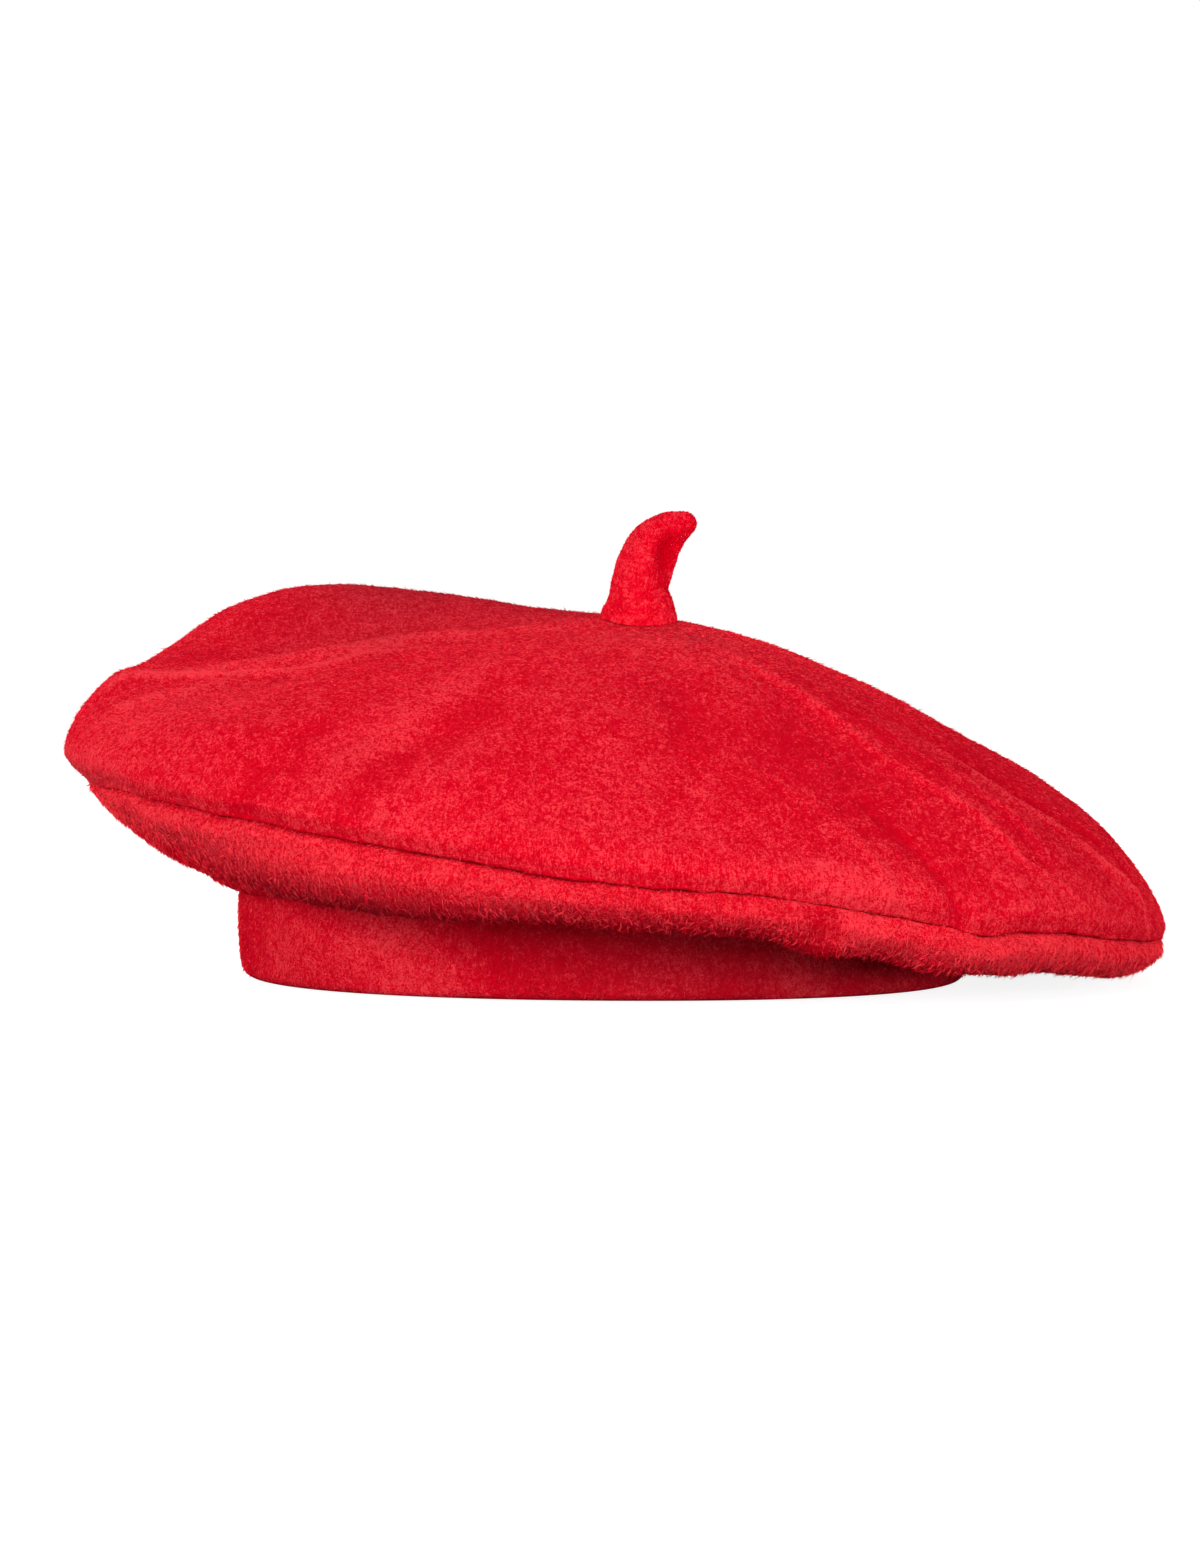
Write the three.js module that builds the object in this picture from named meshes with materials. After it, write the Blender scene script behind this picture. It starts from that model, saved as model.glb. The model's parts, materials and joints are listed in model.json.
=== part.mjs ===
// A basque beret of soft felt, standing on its headband.
//
// Four sewn pieces: a round crown panel that rises at the back left and flops down to the right, a ring of
// the same felt under the rim, a folded headband and a short curved stalk. Millimetres, +Z up. The origin is
// on the surface that the band stands on, under the middle of the rim; +X points to the low side and -Y to
// the front. Azimuths are degrees from +X, turning towards +Y.

import * as THREE from "three";

// Driving dimensions.
const FELT = 2.2; // thickness of one layer of felt
const GAP = 0.3; // between pieces that are sewn face to face
const BAND_RADIUS = 92.3; // outside of the band, along X and along Y
const BAND_SQUARE = 0.035; // how much further out the band lies between X and Y, as a share of its radius
const BAND_HEIGHT = 22;
const BAND_WALL = 3.8; // the band is the felt folded double
const HEM_ROUND = 1.1; // radius of the band's lower corners
const CORNER_CUT = 0.3; // how far a rounded corner's middle lies from each face, as a share of its radius
const BAND_SHIFT = -3; // the band's centre, along X
const STALK_SHIFT = 6; // the stalk's foot, along X
const CROWN_TOP = 90.2; // height of the crown under the stalk
const STALK_SEAT = 0.09; // the flat round the stalk's foot, as a share of the reach
const SEAM_ALLOWANCE = 6; // how far the crown's and the panel's edges turn in at the rim seam
const SEAM_ROUND = 2.5; // radius of the felt where it turns in at the rim seam
const ROLL_AT = 0.5; // where the panel's roll is measured, as a share of the way down from the seam
const FOLDS_END = 0.9; // where the folds start to fade, as a share of the reach
const TIP_ROUND = 0.7; // how far the stalk's tip lies past its last section, as a share of its half depth

// Facets.
const AROUND = 72;
const CROWN_SPANS = [2, 2, 2, 2, 2, 1]; // steps between the places that its section names
const PANEL_SPANS = [1, 2, 1, 1]; // and for the panel
const TURN_STEPS = 3;
const STALK_AROUND = 16;
const STALK_STEPS = 12;

// The crown's section, every 30 degrees. reach: radius of its edge where it is widest; over: how far that
// is above the rim seam; tuck: how far the seam lies inside the edge; z30, z60, z80, z92: heights at those
// hundredths of the reach.
const CROWN = [
  { at: 0, reach: 140, over: 4.7, tuck: 0.9, z30: 81.6, z60: 63, z80: 47.6, z92: 32.8 },
  { at: 30, reach: 139.8, over: 6.6, tuck: 2, z30: 84, z60: 66.2, z80: 50.2, z92: 36.8 },
  { at: 60, reach: 139, over: 7, tuck: 3, z30: 87, z60: 73, z80: 59, z92: 47 },
  { at: 90, reach: 138, over: 9, tuck: 4, z30: 90, z60: 84, z80: 72.5, z92: 59 },
  { at: 120, reach: 135.5, over: 13.5, tuck: 6, z30: 92.2, z60: 92, z80: 86, z92: 74 },
  { at: 150, reach: 133, over: 17.5, tuck: 8, z30: 94, z60: 97.7, z80: 97, z92: 89 },
  { at: 180, reach: 139.4, over: 10.4, tuck: 7.8, z30: 87.5, z60: 80.5, z80: 78.3, z92: 75 },
  { at: 210, reach: 139.4, over: 5.2, tuck: 2.4, z30: 86, z60: 77.5, z80: 71, z92: 65 },
  { at: 240, reach: 138.5, over: 4.7, tuck: 1.5, z30: 85.5, z60: 74, z80: 63, z92: 54.5 },
  { at: 270, reach: 138.5, over: 4.7, tuck: 1.2, z30: 84, z60: 70, z80: 57, z92: 46.5 },
  { at: 300, reach: 139, over: 4.7, tuck: 1.2, z30: 83, z60: 66, z80: 51.5, z92: 40 },
  { at: 330, reach: 140, over: 5, tuck: 1.3, z30: 82, z60: 63, z80: 47.5, z92: 35 },
];

// The rim's section, every 30 degrees. seam: height of the rim seam; roll: radius of the under panel on the
// roll that it makes below the seam; low: radius of its lowest part; sag: height there.
const RIM = [
  { at: 0, seam: 10.4, roll: 138.4, low: 131, sag: 2.6 },
  { at: 30, seam: 13, roll: 137.8, low: 130, sag: 5 },
  { at: 60, seam: 20, roll: 134.8, low: 127, sag: 11 },
  { at: 90, seam: 29, roll: 131.3, low: 122, sag: 18 },
  { at: 120, seam: 38.5, roll: 126.3, low: 117, sag: 25 },
  { at: 150, seam: 45.5, roll: 123, low: 113, sag: 29 },
  { at: 180, seam: 48.1, roll: 124.4, low: 111.5, sag: 32 },
  { at: 210, seam: 48, roll: 129.8, low: 118, sag: 30.3 },
  { at: 240, seam: 40.4, roll: 136.2, low: 126, sag: 23 },
  { at: 270, seam: 30.9, roll: 137.6, low: 129, sag: 19.7 },
  { at: 300, seam: 22, roll: 138, low: 130, sag: 9.6 },
  { at: 330, seam: 14.4, roll: 138.8, low: 131.5, sag: 5 },
];

// Soft folds that run out from the stalk. inner and outer: azimuth where the fold begins and at the rim;
// start and full: shares of the reach where it begins and where it is highest; spread: half width in
// degrees; rise: height, below zero in a valley.
const FOLDS = [
  { inner: 162, outer: 160, start: 0.6, full: 0.85, spread: 9, rise: -2.8 },
  { inner: 172, outer: 168, start: 0.3, full: 0.8, spread: 10, rise: -2.6 },
  { inner: 187, outer: 183, start: 0.1, full: 0.5, spread: 7, rise: 2.2 },
  { inner: 203, outer: 200, start: 0.3, full: 0.7, spread: 8, rise: -1.4 },
  { inner: 240, outer: 215, start: 0.5, full: 0.85, spread: 9, rise: 1.8 },
  { inner: 272, outer: 244, start: 0.3, full: 0.7, spread: 9, rise: 2 },
  { inner: 284, outer: 276, start: 0.3, full: 0.75, spread: 14, rise: -1.6 },
  { inner: 304, outer: 306, start: 0.35, full: 0.8, spread: 7, rise: -1.8 },
  { inner: 312, outer: 325, start: 0.2, full: 0.6, spread: 6, rise: 2.4 },
  { inner: 330, outer: 333, start: 0.3, full: 0.7, spread: 6, rise: -1.2 },
  { inner: 346, outer: 341, start: 0.3, full: 0.7, spread: 5, rise: 1 },
];

// Ripples of the rim. spread: half width in degrees; seam and sag: how much they lift the seam and the
// panel's lowest part; roll: how far they push the panel's roll out, below zero in a pinch.
const RIPPLES = [
  { at: 264, spread: 6, seam: -0.8, sag: 0.6, roll: 0 },
  { at: 285, spread: 7, seam: 1.6, sag: 0, roll: 0.8 },
  { at: 286, spread: 9, seam: 0, sag: 3.2, roll: 0 },
  { at: 291, spread: 3.5, seam: 0, sag: 0, roll: -2.4 },
  { at: 299, spread: 5, seam: 0, sag: 1.8, roll: 0 },
  { at: 310, spread: 5, seam: -2, sag: 0.2, roll: 0.6 },
  { at: 323, spread: 5, seam: 0.4, sag: 1.2, roll: -0.8 },
  { at: 341, spread: 6, seam: 0, sag: -0.8, roll: 0.4 },
];

// The stalk, from its foot to its tip. out and up: the middle of a section, from the foot's middle;
// wide and deep: the section's half sizes along the bend and across it.
const STALK = [
  { out: 0, up: 0, wide: 9.9, deep: 8.2 },
  { out: 0.1, up: 3.6, wide: 8.8, deep: 7.2 },
  { out: 0, up: 6.1, wide: 7.9, deep: 6.7 },
  { out: -0.1, up: 8.3, wide: 7.2, deep: 6.3 },
  { out: 0.5, up: 10.3, wide: 7.3, deep: 6.1 },
  { out: 1.2, up: 12.9, wide: 7.4, deep: 6 },
  { out: 2.6, up: 16.4, wide: 7.1, deep: 5.8 },
  { out: 4.8, up: 20, wide: 6.5, deep: 5.4 },
  { out: 8.3, up: 23, wide: 5.1, deep: 4.5 },
  { out: 10.9, up: 24.35, wide: 3.9, deep: 3.6 },
  { out: 12.6, up: 25.1, wide: 2.9, deep: 2.8 },
];

const polar = (radius, turn, height, shift = 0) =>
  new THREE.Vector3(shift + radius * Math.cos(turn), radius * Math.sin(turn), height);
const turns = (count) => Array.from({ length: count }, (_, i) => (i / count) * 2 * Math.PI);

// 1 where an azimuth is at, fading to 0 a few spreads away.
function nearness(turn, at, spread) {
  const off = THREE.MathUtils.euclideanModulo(THREE.MathUtils.radToDeg(turn) - at + 180, 360) - 180;
  return Math.exp(-((off / spread) ** 2));
}

// A column of a table at any azimuth, by a closed Catmull-Rom curve through its rows.
function around(table, column, turn) {
  const rows = table.length;
  const place = (turn / (2 * Math.PI)) * rows;
  const row = Math.floor(place);
  const [a, b, c, d] = [-1, 0, 1, 2].map((step) => table[(row + step + rows) % rows][column]);
  const t = place - row;
  return b + (t / 2) * (c - a + t * (2 * a - 5 * b + 4 * c - d + t * (3 * b - a - 3 * c + d)));
}

// A column of RIM at any azimuth, with the ripples on it.
function rim(column, turn) {
  let value = around(RIM, column, turn);
  for (const ripple of RIPPLES) {
    value += (ripple[column] ?? 0) * nearness(turn, ripple.at, ripple.spread);
  }
  return value;
}

// How much the folds lift the crown at an azimuth and a share of the reach.
function foldRise(turn, share) {
  let rise = 0;
  for (const fold of FOLDS) {
    const way = THREE.MathUtils.clamp((share - fold.start) / (1 - fold.start), 0, 1);
    const at = THREE.MathUtils.lerp(fold.inner, fold.outer, way * way);
    const along = THREE.MathUtils.smoothstep(share, fold.start, fold.full);
    const fade = 1 - THREE.MathUtils.smoothstep(share, FOLDS_END, 1);
    rise += fold.rise * nearness(turn, at, fold.spread) * along * fade;
  }
  return rise;
}

// The outside of the band at an azimuth.
const bandRadius = (turn) => BAND_RADIUS * (1 + (BAND_SQUARE * (1 - Math.cos(4 * turn))) / 2);

const inPlane = (radius, height) => new THREE.Vector3(radius, 0, height);

// The felt's turn at the rim seam: an arc from the inside of the seam, at middle's radius, to where the face
// leaves the arc for a given point. side is 1 for the crown, above the seam, and -1 for the panel under it.
function seamTurn(middle, target, side) {
  const away = target.clone().sub(middle);
  const leave = Math.atan2(side * away.z, away.x) - Math.acos(Math.min(1, SEAM_ROUND / away.length()));
  const points = [];
  for (let step = 0; step <= TURN_STEPS; step++) {
    const angle = THREE.MathUtils.lerp(-Math.PI / 2, leave, step / TURN_STEPS);
    const out = SEAM_ROUND * Math.cos(angle);
    points.push(inPlane(middle.x + out, middle.z + side * SEAM_ROUND * Math.sin(angle)));
  }
  return points;
}

// A smooth line through points, with a number of steps for each span between them.
function smoothFace(points, spans) {
  const curve = new THREE.CatmullRomCurve3(points, false, "centripetal");
  const at = spans.flatMap((count, span) => Array.from({ length: count }, (_, step) => span + step / count));
  return [...at, spans.length].map((place) => curve.getPoint(place / spans.length));
}

// The crown's outer face at one azimuth, from the stalk's seat to the edge that is turned in at the seam.
function crownSection(turn) {
  const reach = around(CROWN, "reach", turn);
  const seam = rim("seam", turn) + GAP / 2;
  const lip = reach - around(CROWN, "tuck", turn);
  const edge = inPlane(reach, seam + around(CROWN, "over", turn));
  const folded = seamTurn(inPlane(lip - SEAM_ROUND, seam + SEAM_ROUND), edge, 1);
  const shares = { z30: 0.3, z60: 0.6, z80: 0.8, z92: 0.92 };
  const points = [
    inPlane(reach * STALK_SEAT, CROWN_TOP),
    ...Object.entries(shares).map(([column, share]) =>
      inPlane(reach * share, around(CROWN, column, turn) + foldRise(turn, share)),
    ),
    edge,
    folded.at(-1),
  ];
  const face = smoothFace(points, CROWN_SPANS);
  return [...face, ...folded.slice(0, -1).reverse(), inPlane(lip - SEAM_ALLOWANCE, seam)];
}

// The under panel's outer face at one azimuth, from its edge at the rim seam to the top of the band.
function panelSection(turn) {
  const seam = rim("seam", turn) - GAP / 2;
  const lip = around(CROWN, "reach", turn) - around(CROWN, "tuck", turn);
  const [low, sag] = ["low", "sag"].map((column) => rim(column, turn));
  const roll = inPlane(rim("roll", turn), THREE.MathUtils.lerp(seam, sag, ROLL_AT));
  const folded = seamTurn(inPlane(lip - SEAM_ROUND, seam - SEAM_ROUND), roll, -1);
  const join = BAND_HEIGHT + GAP / 2;
  const band = bandRadius(turn);
  const points = [
    folded.at(-1),
    roll,
    inPlane(low, sag),
    inPlane((low + band) / 2, (sag + join) / 2),
    inPlane(band + FELT, join),
  ];
  const face = smoothFace(points, PANEL_SPANS);
  const edge = inPlane(lip - SEAM_ALLOWANCE, seam);
  return [edge, ...folded.slice(0, -1), ...face, inPlane(band - BAND_WALL, join)];
}

// The section of a wall whose outer face is given: out along the face and back along the felt's other side.
function wall(face) {
  const last = face.length - 1;
  const inner = face.map((point, i) => {
    const along = face[Math.min(i + 1, last)].clone().sub(face[Math.max(i - 1, 0)]).normalize();
    return inPlane(point.x + FELT * along.z, point.z - FELT * along.x);
  });
  return [...face, ...inner.reverse()];
}

// Turns sections, one for each azimuth, into rings, one for each step along the section.
function ringsOf(section, shiftAt) {
  const all = turns(AROUND);
  const sections = all.map(section);
  return sections[0].map((_, step) =>
    all.map((turn, i) => {
      const point = sections[i][step];
      return polar(point.x, turn, point.z, shiftAt(point.x, turn));
    }),
  );
}

// A closed surface through rings of points. A ring of one point closes an end; closed joins the last ring to
// the first.
function skin(rings, closed) {
  const positions = [];
  const starts = rings.map((ring) => {
    const start = positions.length / 3;
    ring.forEach((point) => positions.push(point.x, point.y, point.z));
    return start;
  });
  const indices = [];
  const spans = closed ? rings.length : rings.length - 1;
  for (let j = 0; j < spans; j++) {
    const k = (j + 1) % rings.length;
    const count = Math.max(rings[j].length, rings[k].length);
    for (let i = 0; i < count; i++) {
      const a = starts[j] + (i % rings[j].length);
      const b = starts[j] + ((i + 1) % rings[j].length);
      const c = starts[k] + (i % rings[k].length);
      const d = starts[k] + ((i + 1) % rings[k].length);
      if (c !== d) indices.push(a, c, d);
      if (a !== b) indices.push(a, d, b);
    }
  }
  const geometry = new THREE.BufferGeometry();
  geometry.setAttribute("position", new THREE.Float32BufferAttribute(positions, 3));
  geometry.setIndex(indices);
  geometry.computeVertexNormals();
  return geometry;
}

function crown() {
  const shift = (radius, turn) => STALK_SHIFT * (1 - radius / around(CROWN, "reach", turn));
  const rings = ringsOf((turn) => wall(crownSection(turn)), shift);
  const top = [new THREE.Vector3(STALK_SHIFT, 0, CROWN_TOP)];
  const under = [new THREE.Vector3(STALK_SHIFT, 0, CROWN_TOP - FELT)];
  return skin([top, ...rings, under], false);
}

function underPanel() {
  const shift = (radius, turn) => {
    const reach = around(CROWN, "reach", turn);
    return BAND_SHIFT * Math.min(1, (reach - radius) / (reach - bandRadius(turn)));
  };
  return skin(ringsOf((turn) => wall(panelSection(turn)), shift), true);
}

// The band's section is a tall rectangle whose lower corners are rounded by the fold.
function headband() {
  const top = BAND_HEIGHT - GAP / 2;
  const corner = HEM_ROUND * CORNER_CUT;
  const section = [
    { inset: 0, height: top },
    { inset: 0, height: HEM_ROUND },
    { inset: corner, height: corner },
    { inset: HEM_ROUND, height: 0 },
    { inset: BAND_WALL - HEM_ROUND, height: 0 },
    { inset: BAND_WALL - corner, height: corner },
    { inset: BAND_WALL, height: HEM_ROUND },
    { inset: BAND_WALL, height: top },
  ];
  const rings = section.map(({ inset, height }) =>
    turns(AROUND).map((turn) => polar(bandRadius(turn) - inset, turn, height, BAND_SHIFT)),
  );
  return skin(rings, true);
}

function stalk() {
  const foot = CROWN_TOP + GAP;
  const path = new THREE.CatmullRomCurve3(STALK.map((row) => new THREE.Vector3(row.out, 0, row.up)));
  const sizes = new THREE.CatmullRomCurve3(STALK.map((row) => new THREE.Vector3(row.wide, row.deep, 0)));
  const rings = [];
  for (let step = 0; step <= STALK_STEPS; step++) {
    const t = step / STALK_STEPS;
    const middle = path.getPoint(t);
    const size = sizes.getPoint(t);
    const lean = step === 0 ? 0 : Math.atan2(path.getTangent(t).x, path.getTangent(t).z);
    rings.push(
      turns(STALK_AROUND).map((turn) => {
        const wide = size.x * Math.cos(turn);
        const x = STALK_SHIFT + middle.x + wide * Math.cos(lean);
        return new THREE.Vector3(x, size.y * Math.sin(turn), foot + middle.z - wide * Math.sin(lean));
      }),
    );
  }
  const tip = path.getPoint(1).addScaledVector(path.getTangent(1), STALK.at(-1).deep * TIP_ROUND);
  const start = [new THREE.Vector3(STALK_SHIFT, 0, foot)];
  const end = [new THREE.Vector3(STALK_SHIFT + tip.x, 0, foot + tip.z)];
  return skin([end, ...rings.reverse(), start], false);
}

const FELT_LOOK = { roughness: 0.95, metalness: 0 };
const PIECES = [
  ["crown", crown, 0xd4192d],
  ["under_panel", underPanel, 0xc81a2c],
  ["headband", headband, 0xc81528],
  ["stalk", stalk, 0xe01a30],
];

const beret = new THREE.Group();
for (const [name, shape, color] of PIECES) {
  const mesh = new THREE.Mesh(shape(), new THREE.MeshStandardMaterial({ color, ...FELT_LOOK }));
  mesh.name = name;
  beret.add(mesh);
}

export default beret;
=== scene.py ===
"""A basque beret of soft red wool felt, standing on its headband.

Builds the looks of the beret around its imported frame: a round crown panel, a ring of the same felt
under the rim, a headband folded double, a short curved stalk, and the wool's nap on all four. Lengths
in the tables are millimetres in the row frame: +Z up, the origin on the surface that the band stands
on, +X to the low side and -Y to the front. Azimuths are degrees from +X, turning towards +Y.
"""

import json
import math

import bpy  # noqa: E402
import numpy as np  # noqa: E402
from mathutils import Matrix, Vector, noise  # noqa: E402
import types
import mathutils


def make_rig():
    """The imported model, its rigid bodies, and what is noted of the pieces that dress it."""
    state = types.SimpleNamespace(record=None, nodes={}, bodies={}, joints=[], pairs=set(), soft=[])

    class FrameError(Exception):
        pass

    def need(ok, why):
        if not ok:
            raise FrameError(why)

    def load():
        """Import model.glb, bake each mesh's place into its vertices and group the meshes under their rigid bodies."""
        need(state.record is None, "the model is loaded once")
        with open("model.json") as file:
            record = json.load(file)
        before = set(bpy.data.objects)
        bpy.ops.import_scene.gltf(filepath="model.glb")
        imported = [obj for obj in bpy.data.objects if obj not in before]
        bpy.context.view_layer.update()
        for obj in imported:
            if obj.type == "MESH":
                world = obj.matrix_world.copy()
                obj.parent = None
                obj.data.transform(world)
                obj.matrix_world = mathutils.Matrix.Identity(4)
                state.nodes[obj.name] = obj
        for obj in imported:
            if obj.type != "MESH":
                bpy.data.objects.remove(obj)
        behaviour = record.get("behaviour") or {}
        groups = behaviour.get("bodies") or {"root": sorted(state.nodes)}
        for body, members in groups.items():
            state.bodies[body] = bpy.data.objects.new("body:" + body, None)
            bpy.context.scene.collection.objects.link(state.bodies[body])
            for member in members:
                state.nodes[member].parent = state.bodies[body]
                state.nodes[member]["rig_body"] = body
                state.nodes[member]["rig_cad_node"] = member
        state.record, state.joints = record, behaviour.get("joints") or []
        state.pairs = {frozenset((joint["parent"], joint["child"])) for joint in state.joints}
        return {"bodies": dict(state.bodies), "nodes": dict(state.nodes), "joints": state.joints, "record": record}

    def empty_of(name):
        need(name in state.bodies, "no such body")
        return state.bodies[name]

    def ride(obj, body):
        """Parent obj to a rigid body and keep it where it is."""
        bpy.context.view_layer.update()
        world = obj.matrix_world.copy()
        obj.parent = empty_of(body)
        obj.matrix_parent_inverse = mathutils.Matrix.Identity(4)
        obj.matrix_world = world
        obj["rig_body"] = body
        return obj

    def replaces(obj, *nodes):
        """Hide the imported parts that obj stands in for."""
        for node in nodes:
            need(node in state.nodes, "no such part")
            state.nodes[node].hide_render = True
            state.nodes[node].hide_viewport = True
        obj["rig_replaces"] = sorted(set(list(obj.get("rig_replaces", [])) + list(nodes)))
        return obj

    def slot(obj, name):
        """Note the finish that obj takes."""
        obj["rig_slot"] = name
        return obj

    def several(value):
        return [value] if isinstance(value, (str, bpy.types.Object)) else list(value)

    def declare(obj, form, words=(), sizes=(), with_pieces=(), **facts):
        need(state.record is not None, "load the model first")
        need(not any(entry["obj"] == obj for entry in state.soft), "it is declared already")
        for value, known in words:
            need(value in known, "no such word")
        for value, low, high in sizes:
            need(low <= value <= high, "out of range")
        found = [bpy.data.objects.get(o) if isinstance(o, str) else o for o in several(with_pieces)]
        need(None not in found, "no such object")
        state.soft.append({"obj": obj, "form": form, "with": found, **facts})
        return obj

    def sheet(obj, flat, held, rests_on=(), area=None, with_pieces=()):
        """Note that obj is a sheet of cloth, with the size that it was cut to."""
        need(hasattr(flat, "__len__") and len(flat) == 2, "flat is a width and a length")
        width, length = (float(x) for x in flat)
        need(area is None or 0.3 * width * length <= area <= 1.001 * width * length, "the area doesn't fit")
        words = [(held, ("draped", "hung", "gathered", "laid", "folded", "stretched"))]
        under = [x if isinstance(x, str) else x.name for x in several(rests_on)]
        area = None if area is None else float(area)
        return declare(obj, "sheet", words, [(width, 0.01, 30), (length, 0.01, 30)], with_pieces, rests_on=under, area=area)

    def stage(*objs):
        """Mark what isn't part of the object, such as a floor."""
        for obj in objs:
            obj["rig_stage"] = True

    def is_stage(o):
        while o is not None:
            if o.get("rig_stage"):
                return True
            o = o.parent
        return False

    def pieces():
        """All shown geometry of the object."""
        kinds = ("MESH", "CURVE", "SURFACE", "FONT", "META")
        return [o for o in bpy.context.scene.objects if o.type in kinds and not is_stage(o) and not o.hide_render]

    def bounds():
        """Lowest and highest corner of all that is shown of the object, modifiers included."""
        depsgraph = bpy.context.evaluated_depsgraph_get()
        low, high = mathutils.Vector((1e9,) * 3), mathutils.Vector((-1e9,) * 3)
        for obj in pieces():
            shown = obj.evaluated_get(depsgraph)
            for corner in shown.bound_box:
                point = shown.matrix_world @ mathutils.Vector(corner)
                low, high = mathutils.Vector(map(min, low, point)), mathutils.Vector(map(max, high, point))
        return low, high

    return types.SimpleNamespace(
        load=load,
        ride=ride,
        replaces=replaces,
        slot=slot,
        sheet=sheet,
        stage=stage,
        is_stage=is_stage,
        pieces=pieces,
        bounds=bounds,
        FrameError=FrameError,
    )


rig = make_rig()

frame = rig.load()
cad_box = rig.bounds()

bl_info = {
    "name": "Basque beret",
    "version": (1, 0, 0),
    "blender": (4, 5, 0),
    "location": "3D View > Sidebar > Beret",
    "description": "A felt beret with a curved stalk, standing on its headband",
    "category": "Object",
}

MM = 0.001
BODY = "root"
SIZE_FILE = "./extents.json"

# Where the pieces lie, as in the frame. SEAM_GAP: between the crown and the panel at the rim; SEWN_GAP:
# between other pieces that are sewn together; BAND_SQUARE: how much further out the band lies between X
# and Y, as a share; STALK_SEAT: the flat round the stalk's foot, as a share of the crown's reach;
# ROLL_AT: where the panel's roll is given, as a share of the way down from the seam.
SEAM_GAP = 0.12
SEWN_GAP = 0.3
BAND_RADIUS = 92.3
BAND_SQUARE = 0.035
BAND_HEIGHT = 22.0
BAND_SHIFT = -3.0
STALK_SHIFT = 6.0
CROWN_MIDDLE = 90.2
STALK_SEAT = 0.09
SEAM_ALLOWANCE = 6.0
ROLL_AT = 0.5

# The crown's section, every 30 degrees. reach: radius of its edge where it is widest; over: how far that
# is above the rim seam; tuck: how far the seam lies inside the edge; seat: height round the stalk's foot;
# z30 to z92: heights at those hundredths of the reach.
CROWN_COLUMNS = ("reach", "over", "tuck", "seat", "z30", "z60", "z80", "z92")
CROWN_HEIGHTS = (("z30", 0.3), ("z60", 0.6), ("z80", 0.8), ("z92", 0.92))
CROWN = (
    (140, 4.2, 0.5, 89.6, 81.6, 63, 47.6, 32.8),
    (139.8, 6.6, 2, 90, 84, 66.2, 50.2, 36.8),
    (139, 7, 3, 90.5, 87, 73, 59, 47),
    (138, 9, 4, 90.8, 90, 84, 72.5, 59),
    (135.5, 13.5, 6, 91, 92.2, 92, 86, 74),
    (133, 17.5, 8, 90.9, 94, 97.7, 97, 89),
    (139.4, 10.4, 7.8, 90.6, 87.5, 80.5, 78.3, 75),
    (139.4, 5.2, 2.4, 89.9, 86, 77.5, 71, 65),
    (138.5, 4.7, 1.5, 88.5, 85.5, 74, 63, 54.5),
    (138.5, 4.7, 1.2, 88, 84, 70, 57, 46.5),
    (139, 4.7, 1.2, 88.1, 83, 66, 51.5, 40),
    (140, 5, 1.3, 88.8, 82, 63, 47.5, 35),
)

# The rim's section, every 30 degrees. seam: height of the rim seam; roll: radius of the under panel on
# the roll that it makes below the seam; low: radius of its lowest part; sag: height there; bend: radius
# of the panel's turn at the seam; back: how far that turn lies inside the crown's.
RIM_COLUMNS = ("seam", "roll", "low", "sag", "bend", "back")
RIM = (
    (10.4, 139, 131, 2.6, 1.7, 0),
    (13, 137.8, 130, 5, 2.2, 0.2),
    (20, 134.8, 127, 11, 2.6, 0.3),
    (29, 131.3, 122, 18, 2.6, 0.3),
    (38.5, 126.3, 117, 25, 2.2, 0.5),
    (45.5, 123, 113, 29, 1.6, 0.6),
    (48.1, 124.4, 111.5, 32, 1.3, 0.4),
    (48, 129.8, 118, 30.3, 3.4, 0.5),
    (40.4, 136.2, 126, 23, 3.4, 0.2),
    (30.9, 137.6, 129, 19.7, 3.2, 0),
    (22, 138, 130, 9.6, 3, 0),
    (14.4, 138.8, 131.5, 5, 2.4, 0.1),
)

# Ripples of the rim. at: azimuth; spread: half width in degrees; the rest: what they add to columns of
# RIM.
RIPPLES = (
    {"at": 264, "spread": 6, "seam": -0.8, "sag": 0.6},
    {"at": 286, "spread": 9, "sag": 3.2},
    {"at": 285, "spread": 7, "seam": 1.6, "roll": 0.8},
    {"at": 291.5, "spread": 2.6, "seam": 0.4, "sag": -0.7, "roll": -3},
    {"at": 297, "spread": 3.5, "roll": 1.2},
    {"at": 299, "spread": 5, "sag": 1.8},
    {"at": 307, "spread": 6, "roll": 0.4},
    {"at": 310, "spread": 5, "seam": -2, "sag": 0.2, "roll": 0.6},
    {"at": 316, "spread": 2.5, "seam": 0.5, "roll": -1.2},
    {"at": 323, "spread": 5, "seam": 0.4, "sag": 1.2, "roll": -0.8},
    {"at": 341, "spread": 6, "sag": -0.8, "roll": 0.4},
)

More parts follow.
